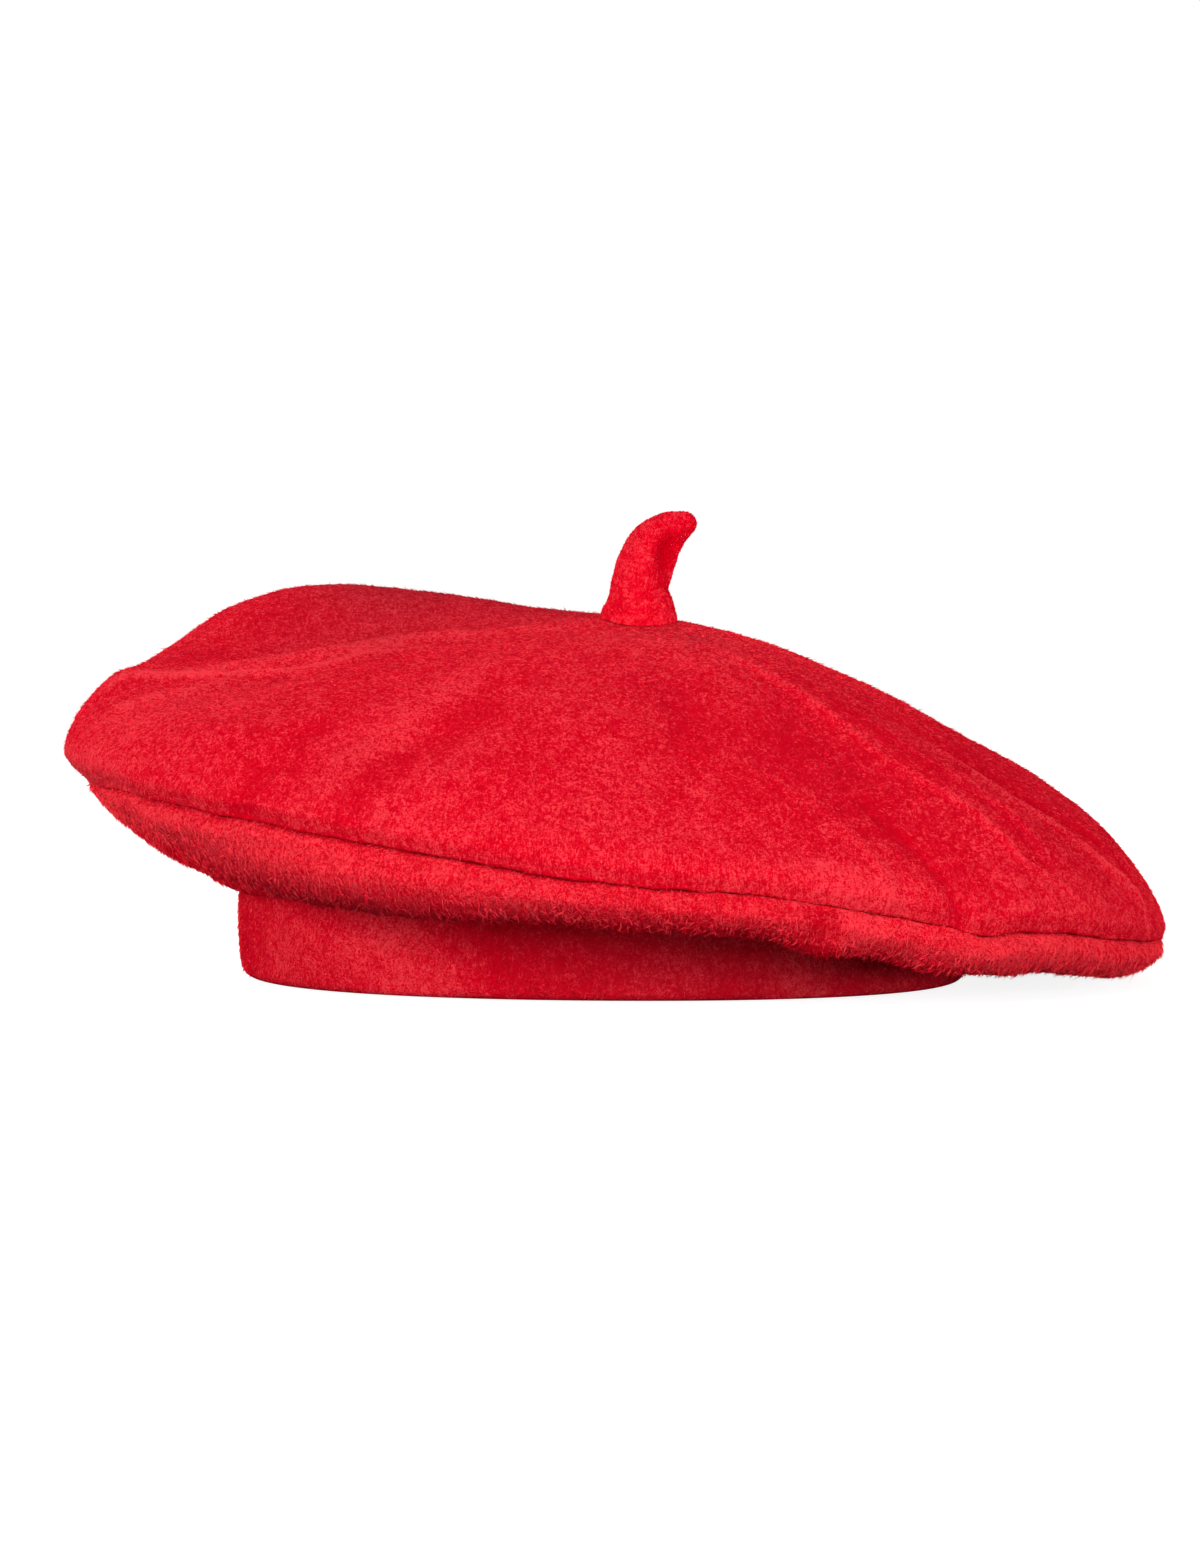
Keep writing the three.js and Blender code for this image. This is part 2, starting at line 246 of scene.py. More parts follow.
# Soft folds that run out from the stalk. inner and outer: azimuth where one begins and at the rim; start
# and full: shares of the reach where it begins and where it is highest; spread: half width in degrees;
# rise: height, below zero in a valley. FOLDS_FADE: the shares between which they all end.
FOLDS_FADE = (0.9, 1)
FOLDS = (
    # inner, outer, start, full, spread, rise
    (162, 160, 0.6, 0.85, 9, -2.8),
    (172, 168, 0.3, 0.8, 10, -2.6),
    (187, 183, 0.1, 0.5, 7, 2.2),
    (203, 200, 0.3, 0.7, 8, -1.4),
    (240, 215, 0.5, 0.85, 9, 1.8),
    (272, 244, 0.3, 0.7, 9, 2),
    (284, 276, 0.3, 0.75, 14, -1.6),
    (304, 306, 0.35, 0.8, 7, -1.8),
    (312, 325, 0.2, 0.6, 6, 2.4),
    (330, 333, 0.3, 0.7, 6, -1.2),
    (346, 341, 0.3, 0.7, 5, 1),
)

# Narrow creases in the crown. path: (azimuth, share of the reach) points along one, outwards; wide: half
# width; rise: height, below zero in a furrow; bright: how much brighter it is painted, a painted highlight
# along a crest and painted shade along a furrow, where that isn't the constant below times the rise. One
# comes over CREASE_START round the share of its first point, and goes over CREASE_END round its last.
PAINTED_CREASE_LIGHT = 1.3
CREASE_START = (-0.08, 0.12)
CREASE_END = (-0.03, 0.1)
CREASES = (
    {"path": ((306, 0.26), (307, 0.32), (311, 0.47), (312, 0.7), (316, 0.84), (318, 0.94), (326, 1)),
     "wide": 1.4, "rise": 0.85},
    {"path": ((316, 0.3), (316, 0.47), (317, 0.7), (320, 0.84), (322, 0.94)), "wide": 2.6, "rise": -0.6},
    {"path": ((327, 0.4), (327, 0.49), (323, 0.66), (322.5, 0.84), (323, 0.9)), "wide": 1.8, "rise": 0.6},
    {"path": ((330, 0.6), (330, 0.79), (333, 0.85), (336, 0.93), (340, 0.98)), "wide": 1.8, "rise": 1.4},
    {"path": ((334, 0.62), (335, 0.79), (338, 0.86), (342, 0.94)), "wide": 2.6, "rise": -1},
    {"path": ((208, 0.16), (191.5, 0.36), (190, 0.48), (188, 0.58), (190, 0.77), (187, 0.9)),
     "wide": 4.5, "rise": 1.0},
    {"path": ((196, 0.6), (194, 0.69), (198, 0.79), (198, 0.88), (197, 0.94)), "wide": 3, "rise": 0.8},
    {"path": ((240, 0.44), (242, 0.65), (241, 0.78), (239, 0.9)), "wide": 5, "rise": 0.9},
    {"path": ((286, 0.4), (284, 0.52), (279, 0.74), (276, 0.85)), "wide": 6, "rise": -0.9},
    {"path": ((250, 0.5), (249, 0.71), (244, 0.92), (242, 1)), "wide": 6, "rise": -0.6},
    {"path": ((231, 0.7), (231, 0.89), (230, 1)), "wide": 4.5, "rise": -0.8},
    {"path": ((301, 0.8), (303, 0.9), (306, 1)), "wide": 3, "rise": -0.9},
    {"path": ((203, 0.38), (195, 0.48), (195.5, 0.56), (195, 0.64), (193, 0.7), (191, 0.78), (188, 0.88)),
     "wide": 1.6, "rise": 0.4, "bright": 2.2},
    {"path": ((294, 0.82), (296, 0.9), (298, 1)), "wide": 3, "rise": 0.6},
)

# Patches of painted light and painted shade on the crown, partly the felt's own tone. bright: how much
# brighter it is painted, below zero darker; the last column: how much painted shade dulls its colour.
CROWN_PATCHES = (
    # azimuth, share of the reach, half width, bright, painted shade
    (155, 0.44, 28, 0, 0.74),
    (140, 0.62, 26, 0, 0.6),
    (120, 0.8, 34, 0, 0.5),
    (150, 0.18, 18, 0, 0.6),
    (163, 0.7, 13, -0.6, 0.15),
    (172, 0.85, 16, -0.3, 0.15),
    (185, 0.45, 13, 0.5, 0.45),
    (212, 0.52, 18, -0.5, -0.1),
    (275, 0.2, 30, 0.9, 0),
    (205, 0.85, 22, 1.1, 0),
    (298, 0.72, 30, -1.1, 0),
    (338, 0.72, 16, -0.5, 0.1),
    (352, 0.7, 30, -0.5, 0.15),
    (330, 0.5, 16, -0.4, 0),
    (192, 0.84, 14, -0.8, 0.1),
    (176, 0.76, 14, -1, 0),
    (241, 0.9, 12, -0.3, 0.15),
    (280, 0.76, 16, 0.8, 0),
    (175, 0.62, 15, 0, 0.25),
)

# What changes round the rim and the band, as (azimuth, half width in degrees, how much) rows. Patches are
# painted light and painted shade, brighter or, below zero, darker: painted light on the crown's shaded lip
# beside the seam, painted highlights and shade on the panel's roll, and painted light and painted shadow
# on the band under the roll.
PAINTED_LIP_LIGHT = ((187, 17, 2.4), (294, 8, 1.3))
PANEL_PAINTED_LIGHT = (
    (325, 28, 0.3), (270, 28, -0.9), (291, 1.6, -1.5), (295.5, 3, 1), (215, 16, 0.4), (184, 14, 1.2),
)
BAND_PAINTED_LIGHT = ((188, 24, -0.3), (241, 8, 0.9), (264, 16, -0.7), (288, 20, -0.4), (291, 5, -0.6))
# Where painted shade dulls the colour: on the panel, on the lower half of its roll, and on the band.
PANEL_PAINTED_SHADE = ((272, 24, 0.25),)
UNDERSIDE_PAINTED_SHADE = ((240, 22, 1.1),)
BAND_PAINTED_SHADE = ((266, 24, 0.5), (284, 16, 0.3), (305, 20, 0.45))
# Where the band's soft wall stands out or, below zero, in.
BAND_WAVES = (
    (205, 9, -1.2), (222, 12, 1.1), (245, 10, -0.8), (268, 9, 0.5), (288, 10, -0.5), (306, 12, 0.6),
    (60, 20, 0.8), (120, 18, -0.8),
)
# Where the groove of the rim seam is pressed shut, so that no dark line shows.
SEAM_SHUT = ((188, 17, 1), (285, 5, 0.6), (303, 8, 0.8), (330, 4, 0.6), (0, 10, 0.9))

# The rim seam. SEAM_WANDER: (lump size, height) pairs of its wandering up and down; SHUT_BY_CHANCE: (lump
# size, strength, offset of the noise) of shorter places where the groove is shut too; SHUT_BEND: how much
# smaller the felt's turn is where it is shut; LEAST_BEND: its smallest radius; LIP_BEND: the largest
# radius of the crown's turn, while the panel's is in RIM; SEAM_SHADE: how much darker the felt is in the
# open groove.
SEAM_WANDER = ((17, 0.5), (6, 0.35))
SHUT_BY_CHANCE = (9, 1.5, 2.7)
SHUT_BEND = 0.8
LEAST_BEND = 0.3
LIP_BEND = 1.1
SEAM_SHADE = 1.7

# The stalk, from its foot to its tip. out and up: the middle of a section, from the foot's middle; wide
# and deep: the section's half sizes along the bend and across it.
STALK = (
    # out, up, wide, deep
    (0, 0, 9.9, 8.2),
    (0, 1.2, 9.7, 7.9),
    (0.1, 3.6, 8.8, 7.2),
    (0, 6.1, 7.9, 6.7),
    (-0.1, 8.3, 7.2, 6.3),
    (0.5, 10.3, 7.3, 6.1),
    (1.2, 12.9, 7.4, 6),
    (2.6, 16.4, 7.1, 5.8),
    (4.8, 20, 6.5, 5.4),
    (8.3, 23, 5.1, 4.5),
    (10.9, 24.35, 3.9, 3.6),
    (12.6, 25.1, 2.9, 2.8),
)
STALK_LEANS = (0, 6)  # lengths from the foot between which its sections start to follow the bend
STALK_SEATED = (0, 9)  # heights between which it stops following the crown under it
STALK_FOOT_RUN = 6.0  # length on the map of the felt under the foot
STALK_BARE_STEPS = 3  # steps from the foot before the nap is full
TIP_TAPER = math.radians(25)  # how steeply it narrows where its round tip begins
TIP_RUN = 6.5
STALK_DRUM = 8.0
STALK_BRUSHED = 0.3
# The dent in its bend. out and up: the middle; slim: how much taller it is than wide; front: how far to
# the front it begins and is full.
STALK_DENT = {"out": 8.2, "up": 17, "wide": 3.8, "deep": 3.4, "slim": 0.6, "front": (-1, 2)}
# How much the dent is darkened: painted shade.
PAINTED_DENT_SHADE = 1.1

# How finely the felt is cut up. MOST: points round a ring at the rim; RING_COUNTS: (radius, points round
# a ring inside it) pairs; FINE: (spacing there as a share of the rest, from, to) along a section.
MOST = 640
RING_COUNTS = ((17, 80), (35, 160), (70, 320), (1000, MOST))
INSIDE_LEAST = 80
CURVE_STEPS = 30
ARC_STEPS = 12
CROWN_STEPS = 118
CROWN_FINE = (0.6, 0.86, 1)
PANEL_STEPS = 66
PANEL_FINE = (0.7, -1, 0.4)
BAND_STEPS = 22
HEM_STEPS = 8
STALK_CURVE_STEPS = 24
STALK_AROUND = 72
STALK_STEPS = 70
TIP_STEPS = 8
SPACING_SAMPLES = 2001
LEAST_LENGTH = 1e-6  # so that nothing is divided by a length of zero
LEAST_STEP = 1e-9

# Along the crown's and the panel's sections: the shares between which the felt thins towards the rim
# seam, and the distances from the seam's edge between which it is puckered, brushed and given a painted
# highlight, given painted shade in the groove, and given painted light on the crown's lip and on the top
# of the panel's roll.
CROWN_THINS = (0.93, 1)
CROWN_PUCKERED = (24, 6)
CROWN_BRUSHED = 0.15  # how streaked it is away from the seam; beside it, and on the panel, 1
# How much the crown is brightened beside the seam: a painted highlight.
PAINTED_SEAM_HIGHLIGHT = 0.25
CROWN_LIP = (15, 9)
CROWN_GROOVE = (1.8, 0.4)
PANEL_THICKENS = (0, 0.1)
PANEL_PUCKERED = (26, 8)
PANEL_TOP = (21, 7)
PANEL_GROOVE = (2, 0.6)
# Painted shade on the roll's underside and painted light on its top, laid into the panel's colour:
PAINTED_UNDERSIDE_SHADE = 1.4  # how much darker the roll's underside is than the plain felt
PAINTED_TOP_LIGHT = 2.6  # and how much brighter its top is than its underside
PANEL_BARE = (12, 6)  # distances from the band between which the nap ends
SEAM_NAP = 0.6  # on the felt inside the groove

# The headband: its two layers, the round of its hem, how far its wall leans in above the hem on the high
# side, and where its nap begins.
BAND_WALL = 3.8
BAND_BEND = 1.85
BAND_WAVE_TOP = 1.12
SLIT_END = 0.4
HEM_HEIGHT = 13.0
HEM_INSET = 1.6
HEM_LEAN = (180, 60)
BAND_NAP_LOW = 0.2
BAND_NAP_TOP = 1.5
BAND_RAISED = (1.4, 26)  # strength and size of its brighter patches
BAND_BRUSHED = 0.6
BAND_MAP = ((0.002, 0.996), (0.002, 0.99))  # start and size of its place on the map, both ways
STALK_MAP = ((0.01, 0.98), (0.01, 0.98))

# The faces of a strip between two rings. A corner is (ring, share of a step round it).
STRIPS = {
    "same": (((0, 0), (1, 0), (1, 1), (0, 1)),),
    "opening": (((0, 0.5), (1, 0), (1, 1)),),
    "closing": (((0, 0), (1, 0.5), (0, 1)),),
    "doubling": (((0, 0), (1, 0), (1, 0.5)), ((0, 0), (1, 0.5), (0, 1)), ((0, 1), (1, 0.5), (1, 1))),
    "halving": (((0, 0), (1, 0), (0, 0.5)), ((0, 0.5), (1, 0), (1, 1)), ((0, 0.5), (1, 1), (0, 1))),
}

# Unevenness of the felt's faces, as (lump size, height) pairs.
CROWN_LUMPS = ((40, 0.7), (16, 0.35), (7, 0.2), (3.2, 0.08))
PANEL_LUMPS = ((24, 0.5), (10, 0.3), (5, 0.2), (3, 0.1))
BAND_LUMPS = ((30, 0.5), (12, 0.35), (6, 0.16), (3, 0.07))
STALK_LUMPS = ((7, 0.3), (3, 0.12), (1.6, 0.04))
LUMP_OFFSET = np.array([7.3, 3.1, 5.7])
PUCKER_SIZE = (5, 5, 22)
CROWN_PUCKER = 0.35
PANEL_PUCKER = 0.5
RIM_RADIUS = 138.0

MAP_NAME = "OFBake"
MAP_TURN = 2.0  # how far past the last ring of one side the strip to the other side goes on the map
MAP_GAP = 60.0  # radius on the map at which the under panel's ring begins
LARGE_DISC = (0.37, 0.36)  # centre and radius on the map
SMALL_DISC = (0.86, 0.13)

# The wool. NOISE_MIDDLE: the mean of the noise; CURL_SHARPNESS: how thin the curled fibres are; STREAK:
# size, detail and distortion of the streaks that brushing leaves, in places that are millimetres;
# RELIEF_SHARES: how much of the relief comes from the grain, the curls and the second mottle;
# COLOUR_MIX_SOCKETS: the inputs of a colour Mix node that take its factor and its two colours, and
# COLOUR_MIX_RESULT the output that gives the mixed one.
WOOL_ROUGHNESS = 0.95
SHEEN_ROUGHNESS = 0.5
NOISE_ROUGHNESS = 0.6
NOISE_DETAIL = 2
NOISE_MIDDLE = 0.5
CURL_SHARPNESS = 9.0
STREAK = (1, 3, 0.4)
RELIEF_SHARES = (0.4, 0.3, 0.6)
COLOUR_MIX_SOCKETS = (0, 6, 7)
COLOUR_MIX_RESULT = 2

# How the felt looks. curls: (size, how far they are bent) of the curled fibres; curl: how much brighter
# those are; mottle: (lump size, how far its outline is bent, share of the tone), the first of them the
# grain that brushing turns to streaks; grain: how small the marks are along X, Y and Z; stretch: how
# small the streaks are round and down; streak: how strong they are; tone_and_painted_light: how much the
# marked painted light and shade, and the felt's own marked tone, brighten or darken it; tones: tones of
# the dark, the middle and the bright colour; bright: what those colours are multiplied by; bump and
# relief: strength and depth in millimetres of the relief; tufts: like mottle, from fibre to fibre.
FELT_LOOK = {
    "curls": ((0.95, 0.8), (0.7, 0.8)),
    "curl": 0.15,
    "mottle": ((0.8, 0.8, 0.5), (2.6, 1.2, 0.27), (8, 1.2, 0.13), (32, 0.5, 0.1)),
    "grain": (1, 1, 1),
    "stretch": (2, 2, 0.4),
    "streak": 0.75,
    "tone_and_painted_light": 0.05,
    "tones": (0.4, 0.505, 0.6),
    "bright": 1.0,
    "bump": 0.75,
    "relief": 0.5,
    "specular": 0,
}
CROWN_LOOK = {**FELT_LOOK, "grain": (1, 0.5, 1)}
# The panel's bright of 1.12 lightens its colours as painted light on the roll.
PANEL_LOOK = {**FELT_LOOK, "curl": 0.2, "streak": 0.5, "bump": 0.95, "bright": 1.12}
BAND_LOOK = {**FELT_LOOK, "tone_and_painted_light": 0.06, "streak": 0.6}
STALK_LOOK = {
    **FELT_LOOK,
    "mottle": ((0.8, 0.8, 0.4), (2.2, 1.2, 0.35), (7, 1, 0.25)),
    "curl": 0.1,
    "bump": 0.5,
    "bright": 0.95,
}
FIBRE_LOOK = {
    "tufts": ((0.9, 0.6, 0.6), (3, 1, 0.28), (9, 1, 0.12)),
    "tones": (0.38, 0.48, 0.57),
    "bright": 1.03,
    "tone_and_painted_light": 0.05,
    "specular": 0,
}
# The panel's fibres are lightened likewise, as painted light.
PANEL_FIBRE_LOOK = {**FIBRE_LOOK, "bright": 1.15}

# The nap. on: the piece that bears it; way: where the fibres at some points are brushed to; length: as a
# share of the usual; lean: degrees from the face, and their spread; swirl and swirl_size: how far the way
# turns from place to place; scatter: and from fibre to fibre; varied: how differently bright its fibres
# are; flat, worked and measured: size of the felt before it was cut and sewn, how it was shaped, and its
# area where it isn't all of it.
FIBRE_SUNK = 0.12
FIBRE_ON_MAP = np.array([(-0.0004, 0), (0.0004, 0), (0, 0.0004), (0, 0.0012)])
FIBRE_LENGTH_SPREAD = 0.3
FIBRE_WIDTH_SPREAD = 0.2
FIBRE_THICKNESS = 0.7  # as a share of its width
FIBRE_LEANS = (3, 80)
SWIRL_OFFSET = 4.4
NAPS = {
    "crown_nap": {
        "on": "crown_panel", "slot": "crown_felt", "look": FIBRE_LOOK,
        "way": lambda points: outward(points, STALK_SHIFT) - [0, 0, 1],
        "count": 48000, "length": 1.0, "lean": 15, "lean_spread": 9,
        "swirl": 1.3, "swirl_size": 12, "scatter": 0.7, "varied": 0.8,
        "flat": (0.33, 0.33), "worked": "stretched", "measured": {"area": 0.0855},
    },
    "panel_nap": {
        "on": "rim_panel", "slot": "panel_felt", "look": PANEL_FIBRE_LOOK,
        "way": lambda points: -outward(points, BAND_SHIFT) - [0, 0, 1],
        "count": 36000, "length": 1.5, "lean": 19, "lean_spread": 9,
        "swirl": 0.9, "swirl_size": 10, "scatter": 0.6, "varied": 1.8,
        "flat": (0.286, 0.286), "worked": "stretched", "measured": {"area": 0.0388},
    },
    "band_nap": {
        "on": "band_strip", "slot": "band_felt", "look": FIBRE_LOOK,
        "way": lambda points: 0 * points - [0, 0, 1],
        "count": 18000, "length": 1.0, "lean": 18, "lean_spread": 10,
        "swirl": 0.9, "swirl_size": 12, "scatter": 0.5, "varied": 1.2,
        "flat": (0.59, 0.047), "worked": "folded", "measured": {},
    },
    "stalk_nap": {
        "on": "stalk_tab", "slot": "stalk_felt", "look": FIBRE_LOOK,
        "way": lambda points: 0 * points + [0.5, 0, 1],
        "count": 5000, "length": 0.45, "lean": 14, "lean_spread": 8,
        "swirl": 1.2, "swirl_size": 5, "scatter": 0.6, "varied": 0.5,
    },
}

# The camera and the light, in metres and degrees.
EYE = (0.0, -1.4991, 0.10735)
LOOK_AT = (0.0, 0.0, 0.055)
ROLL = 0.4
LENS = 136.0
SENSOR = 36.0
CLIP = (0.05, 50.0)
LENS_SHIFT = (-0.00918, -0.0127)
LIT_SPOT = (0.0, 0.0, 0.05)
LAMP_DISTANCE = 2.0
LAMPS = (
    # name, azimuth, elevation, power, size
    ("key", -125, 9, 46, (1.2, 1.0)),
    ("side", -42, 5.5, 38, (1.2, 0.7)),
    ("back", 120, 40, 24, (1.2, 1.0)),
)
SKY_STOPS = ((0.0, (0.8, 0.8, 0.8)), (0.3, (0.9, 0.9, 0.9)), (0.8, (1, 1, 1)))
BACKDROP_AROUND = 96
FLOOR_RADII = (0, 0.6, 1.5, 4, 14)
FLOOR_DROP = 0.0003
FLOOR_FADE = (0.3, 2.0)
FLOOR_PAINT = 0.45
FLOOR_BOUNCE = (0.2, 0.2, 0.2)
SURROUND_RADIUS = 14.0
SURROUND_STEPS = 24


# ---------------------------------------------------------------- shape of the felt, in millimetres


def around(values, turn):
    """Values given at even steps of a full turn, at any azimuth, by a closed curve through them."""
    values = np.asarray(values, float)
    rows = len(values)
    place = np.asarray(turn) / (2 * math.pi) * rows
    row = np.floor(place).astype(int)
    a, b, c, d = (values[(row + step) % rows] for step in (-1, 0, 1, 2))
    t = place - row
    return b + t / 2 * (c - a + t * (2 * a - 5 * b + 4 * c - d + t * (3 * b - a - 3 * c + d)))


def off_turn(turn, at):
    """Degrees from one azimuth to another, from -180 to 180."""
    return (np.degrees(turn) - at + 180) % 360 - 180


def nearness(turn, at, spread):
    """1 where an azimuth is at, fading to 0 a few spreads away."""
    return np.exp(-((off_turn(turn, at) / spread) ** 2))


def eased(value, low, high):
    """0 below low, 1 above high, and smooth between them."""
    t = np.clip((value - low) / (high - low), 0, 1)
    return t * t * (3 - 2 * t)


def beside(run, end, span):
    """0 further from an end of a run than the first distance of span, 1 nearer than the second."""
    return eased(run, end - span[0], end - span[1])


def noise_at(points, size, offset=0.0):
    """Smooth noise at points, about -1 to 1. size: how large its lumps are, one number or one for each
    axis."""
    scaled = np.asarray(points, float) / size + offset
    return np.array([noise.noise(p) for p in scaled.tolist()])


def crown_at(column, turn):
    """A column of CROWN at any azimuth."""
    index = CROWN_COLUMNS.index(column)
    return around([row[index] for row in CROWN], turn)


def rim_at(column, turn):
    """A column of RIM at any azimuth, with the ripples on it."""
    index = RIM_COLUMNS.index(column)
    value = around([row[index] for row in RIM], turn)
    for ripple in RIPPLES:
        value = value + ripple.get(column, 0) * nearness(turn, ripple["at"], ripple["spread"])
    return value


def seam_noise(turn, size, offset=0.0):
    """Noise along the rim seam, for lumps of a size."""
    return noise_at(np.stack([np.cos(turn), np.sin(turn), 0 * turn], 1) * RIM_RADIUS, size, offset)


def seam_wander(turn):
    """How much the hand-guided rim seam wanders up and down."""
    return sum(height * seam_noise(turn, size) for size, height in SEAM_WANDER)


def seam_shut(turn):
    """How far the rim seam's groove is closed: 0 where it is open, 1 where the two felts press together."""
    size, strength, offset = SHUT_BY_CHANCE
    by_chance = strength * np.maximum(seam_noise(turn, size, offset), 0)
    return np.clip(summed_round(SEAM_SHUT, turn) + by_chance, 0, 1)


def seam_bend(turn):
    """How roundly the under panel's roll leaves the rim seam: the radius of its first turn."""
    return np.maximum(rim_at("bend", turn) * (1 - SHUT_BEND * seam_shut(turn)), LEAST_BEND)


def fold_rise(turn, share):
    """How much the folds lift the crown at azimuths and shares of the reach."""
    rise = 0
    for inner, outer, start, full, spread, height in FOLDS:
        way = np.clip((share - start) / (1 - start), 0, 1)
        at = inner + (outer - inner) * way**2
        along = eased(share, start, full) * (1 - eased(share, *FOLDS_FADE))
        rise = rise + height * nearness(turn, at, spread) * along
    return rise


def creases_at(turn, share, reach):
    """How much the creases lift the crown's face, and the painted highlight on their crests and the painted
    shade in their furrows, as how much brighter they make it, at azimuths and shares of the reach."""
    rise, bright = np.zeros((2, *np.shape(share)))
    for crease in CREASES:
        azimuths, shares = (np.array(column, float) for column in zip(*crease["path"]))
        at = np.interp(share, shares, azimuths)
        away = np.radians(off_turn(turn, at)) * share * reach
        fade = eased(share, *(shares[0] + CREASE_START)) * (1 - eased(share, *(shares[-1] + CREASE_END)))
        near = np.exp(-((away / crease["wide"]) ** 2)) * fade
        rise += crease["rise"] * near
        bright += crease.get("bright", PAINTED_CREASE_LIGHT * crease["rise"]) * near
    return rise, bright


def summed_round(rows, turn):
    """The sum at azimuths of (azimuth, half width, how much) rows."""
    return sum(much * nearness(turn, at, spread) for at, spread, much in rows)


def patches_round(rows, points):
    """The sum of such rows at points."""
    return summed_round(rows, np.arctan2(points[:, 1], points[:, 0]))


def patches_at(points):
    """How much brighter the patches paint the crown at points, as painted light and shade and partly its
    own tone, and how much painted shade dulls its colour there.
    """
    brighter, away = np.zeros((2, len(points)))
    for azimuth, share, wide, bright, painted_shade in CROWN_PATCHES:
        turn = math.radians(azimuth)
        reach = float(crown_at("reach", turn)) * share
        off = points[:, :2] - [STALK_SHIFT * (1 - share) + reach * math.cos(turn), reach * math.sin(turn)]
        near = np.exp(-(off**2).sum(1) / wide**2)
        brighter += bright * near
        away += painted_shade * near
    return brighter, np.clip(away, 0, 1)


def groove_shade(points, depth):
    """How much darker the felt is in the rim seam's groove at points. depth: 0 at its mouth and 1 well
    inside."""
    turn = np.arctan2(points[:, 1], points[:, 0])
    return SEAM_SHADE * depth * (1 - seam_shut(turn))


def band_radius(turn):
    """The radius of the band's outer face, on the plain form that its waves are added to."""
    return BAND_RADIUS * (1 + BAND_SQUARE * (1 - np.cos(4 * turn)) / 2)


def seat_height(x, y):
    """The crown's height under the stalk's foot, at places from the foot's middle."""
    turn = np.arctan2(y, x)
    share = np.hypot(x, y) / (crown_at("reach", turn) * STALK_SEAT)
    return CROWN_MIDDLE + (crown_at("seat", turn) - CROWN_MIDDLE) * share


def spot(radius, height):
    """A point in the section plane at each azimuth."""
    return np.stack(np.broadcast_arrays(radius, height), -1).astype(float)


def seam_turn(middle, target, side, bend, steps):
    """The felt's turn at the rim seam: an arc from the inside of the seam to where the face leaves it for
    target. side is 1 for the crown, above the seam, and -1 for the panel under it."""
    away = target - middle
    far = np.maximum(np.linalg.norm(away, axis=-1), bend)
    leave = np.arctan2(side * away[:, 1], away[:, 0]) - np.arccos(bend / far)
    angle = -math.pi / 2 + (leave + math.pi / 2) * np.linspace(0, 1, steps + 1)[:, None]
    return np.stack(
        [middle[:, 0] + bend * np.cos(angle), middle[:, 1] + side * bend * np.sin(angle)], -1
    )


def smooth_line(points, steps):
    """A centripetal Catmull-Rom curve through points, an array of (point, azimuth, 2), with steps to each
    span."""
    first, last = 2 * points[0] - points[1], 2 * points[-1] - points[-2]
    held = [first, *points, last]
    line = []
    for a, b, c, d in zip(held, held[1:], held[2:], held[3:]):
        before, here, after = (
            np.maximum(np.linalg.norm(q - p, axis=-1, keepdims=True), LEAST_LENGTH) ** 0.5
            for p, q in ((a, b), (b, c), (c, d))
        )
        leave = ((b - a) / before - (c - a) / (before + here) + (c - b) / here) * here
        meet = ((c - b) / here - (d - b) / (here + after) + (d - c) / after) * here
        for t in np.arange(steps) / steps:
            bent = 3 * (c - b) - 2 * leave - meet + t * (2 * (b - c) + leave + meet)
            line.append(b + t * (leave + t * bent))
    return np.array([*line, points[-1]])


def spaced(line, shares):
    """line, an array of (point, azimuth, 2), at shares of its length at each azimuth."""
    length = np.cumsum(np.linalg.norm(np.diff(line, axis=0), axis=-1), axis=0)
    length = np.concatenate([np.zeros((1, line.shape[1])), length])
    out = np.empty((len(shares), line.shape[1], 2))
    for i in range(line.shape[1]):
        at = shares * length[-1, i]
        for axis in (0, 1):
            out[:, i, axis] = np.interp(at, length[:, i], line[:, i, axis])
    return out


def inner_face(face, sewn, felt):
    """The felt's other side: face moved in by its thickness, square to itself in the section plane. sewn:
    how far each point is pressed to the thickness at a seam."""
    thickness = (felt.thickness + (felt.sewn - felt.thickness) * sewn) / MM
    along = np.empty_like(face)
    along[1:-1] = face[2:] - face[:-2]
    along[0] = face[1] - face[0]
    along[-1] = face[-1] - face[-2]
    along /= np.maximum(np.linalg.norm(along, axis=-1, keepdims=True), LEAST_STEP)
    return face + thickness[:, None, None] * np.stack([along[..., 1], -along[..., 0]], -1)


def spacing(steps, fine, fine_from, fine_to):
    """Shares from 0 to 1 in a number of steps, which are finer by a factor between two shares."""
    place = np.linspace(0, 1, SPACING_SAMPLES)
    density = np.where((place > fine_from) & (place < fine_to), 1 / fine, 1)
    total = np.concatenate([[0], np.cumsum((density[1:] + density[:-1]) / 2)])
    return np.interp(np.linspace(0, total[-1], steps + 1), total, place)


def mean_run(line):
    """How far each point of a section is along it, on average over the azimuths."""
    step = np.linalg.norm(np.diff(line, axis=0), axis=-1).mean(1)
    return np.concatenate([[0], np.cumsum(step)])


# ---------------------------------------------------------------- meshes


class Rings:
    """Rings of points that become one closed skin. Each ring has its own count of points."""

    def __init__(self):
        self.points = []
        self.nap = []
        self.rough = []
        self.sheets = []
        self.reach = []

    def add(self, points, sheet, reach, nap=0.0, rough=None):
        """Adds a ring of points. sheet and reach: its place on the piece's map; nap: how much nap it
        bears; rough: how much unevenness it takes, which is as much as its nap where it isn't given."""
        self.points.append(np.asarray(points, float).reshape(-1, 3))
        self.nap.append(nap)
        self.rough.append(nap if rough is None else rough)
        self.sheets.append(sheet)
        self.reach.append(reach)

    def spread(self, values):
        """One value for each ring, as one value for each point."""
        return np.concatenate([np.full(len(p), v, float) for p, v in zip(self.points, values)])


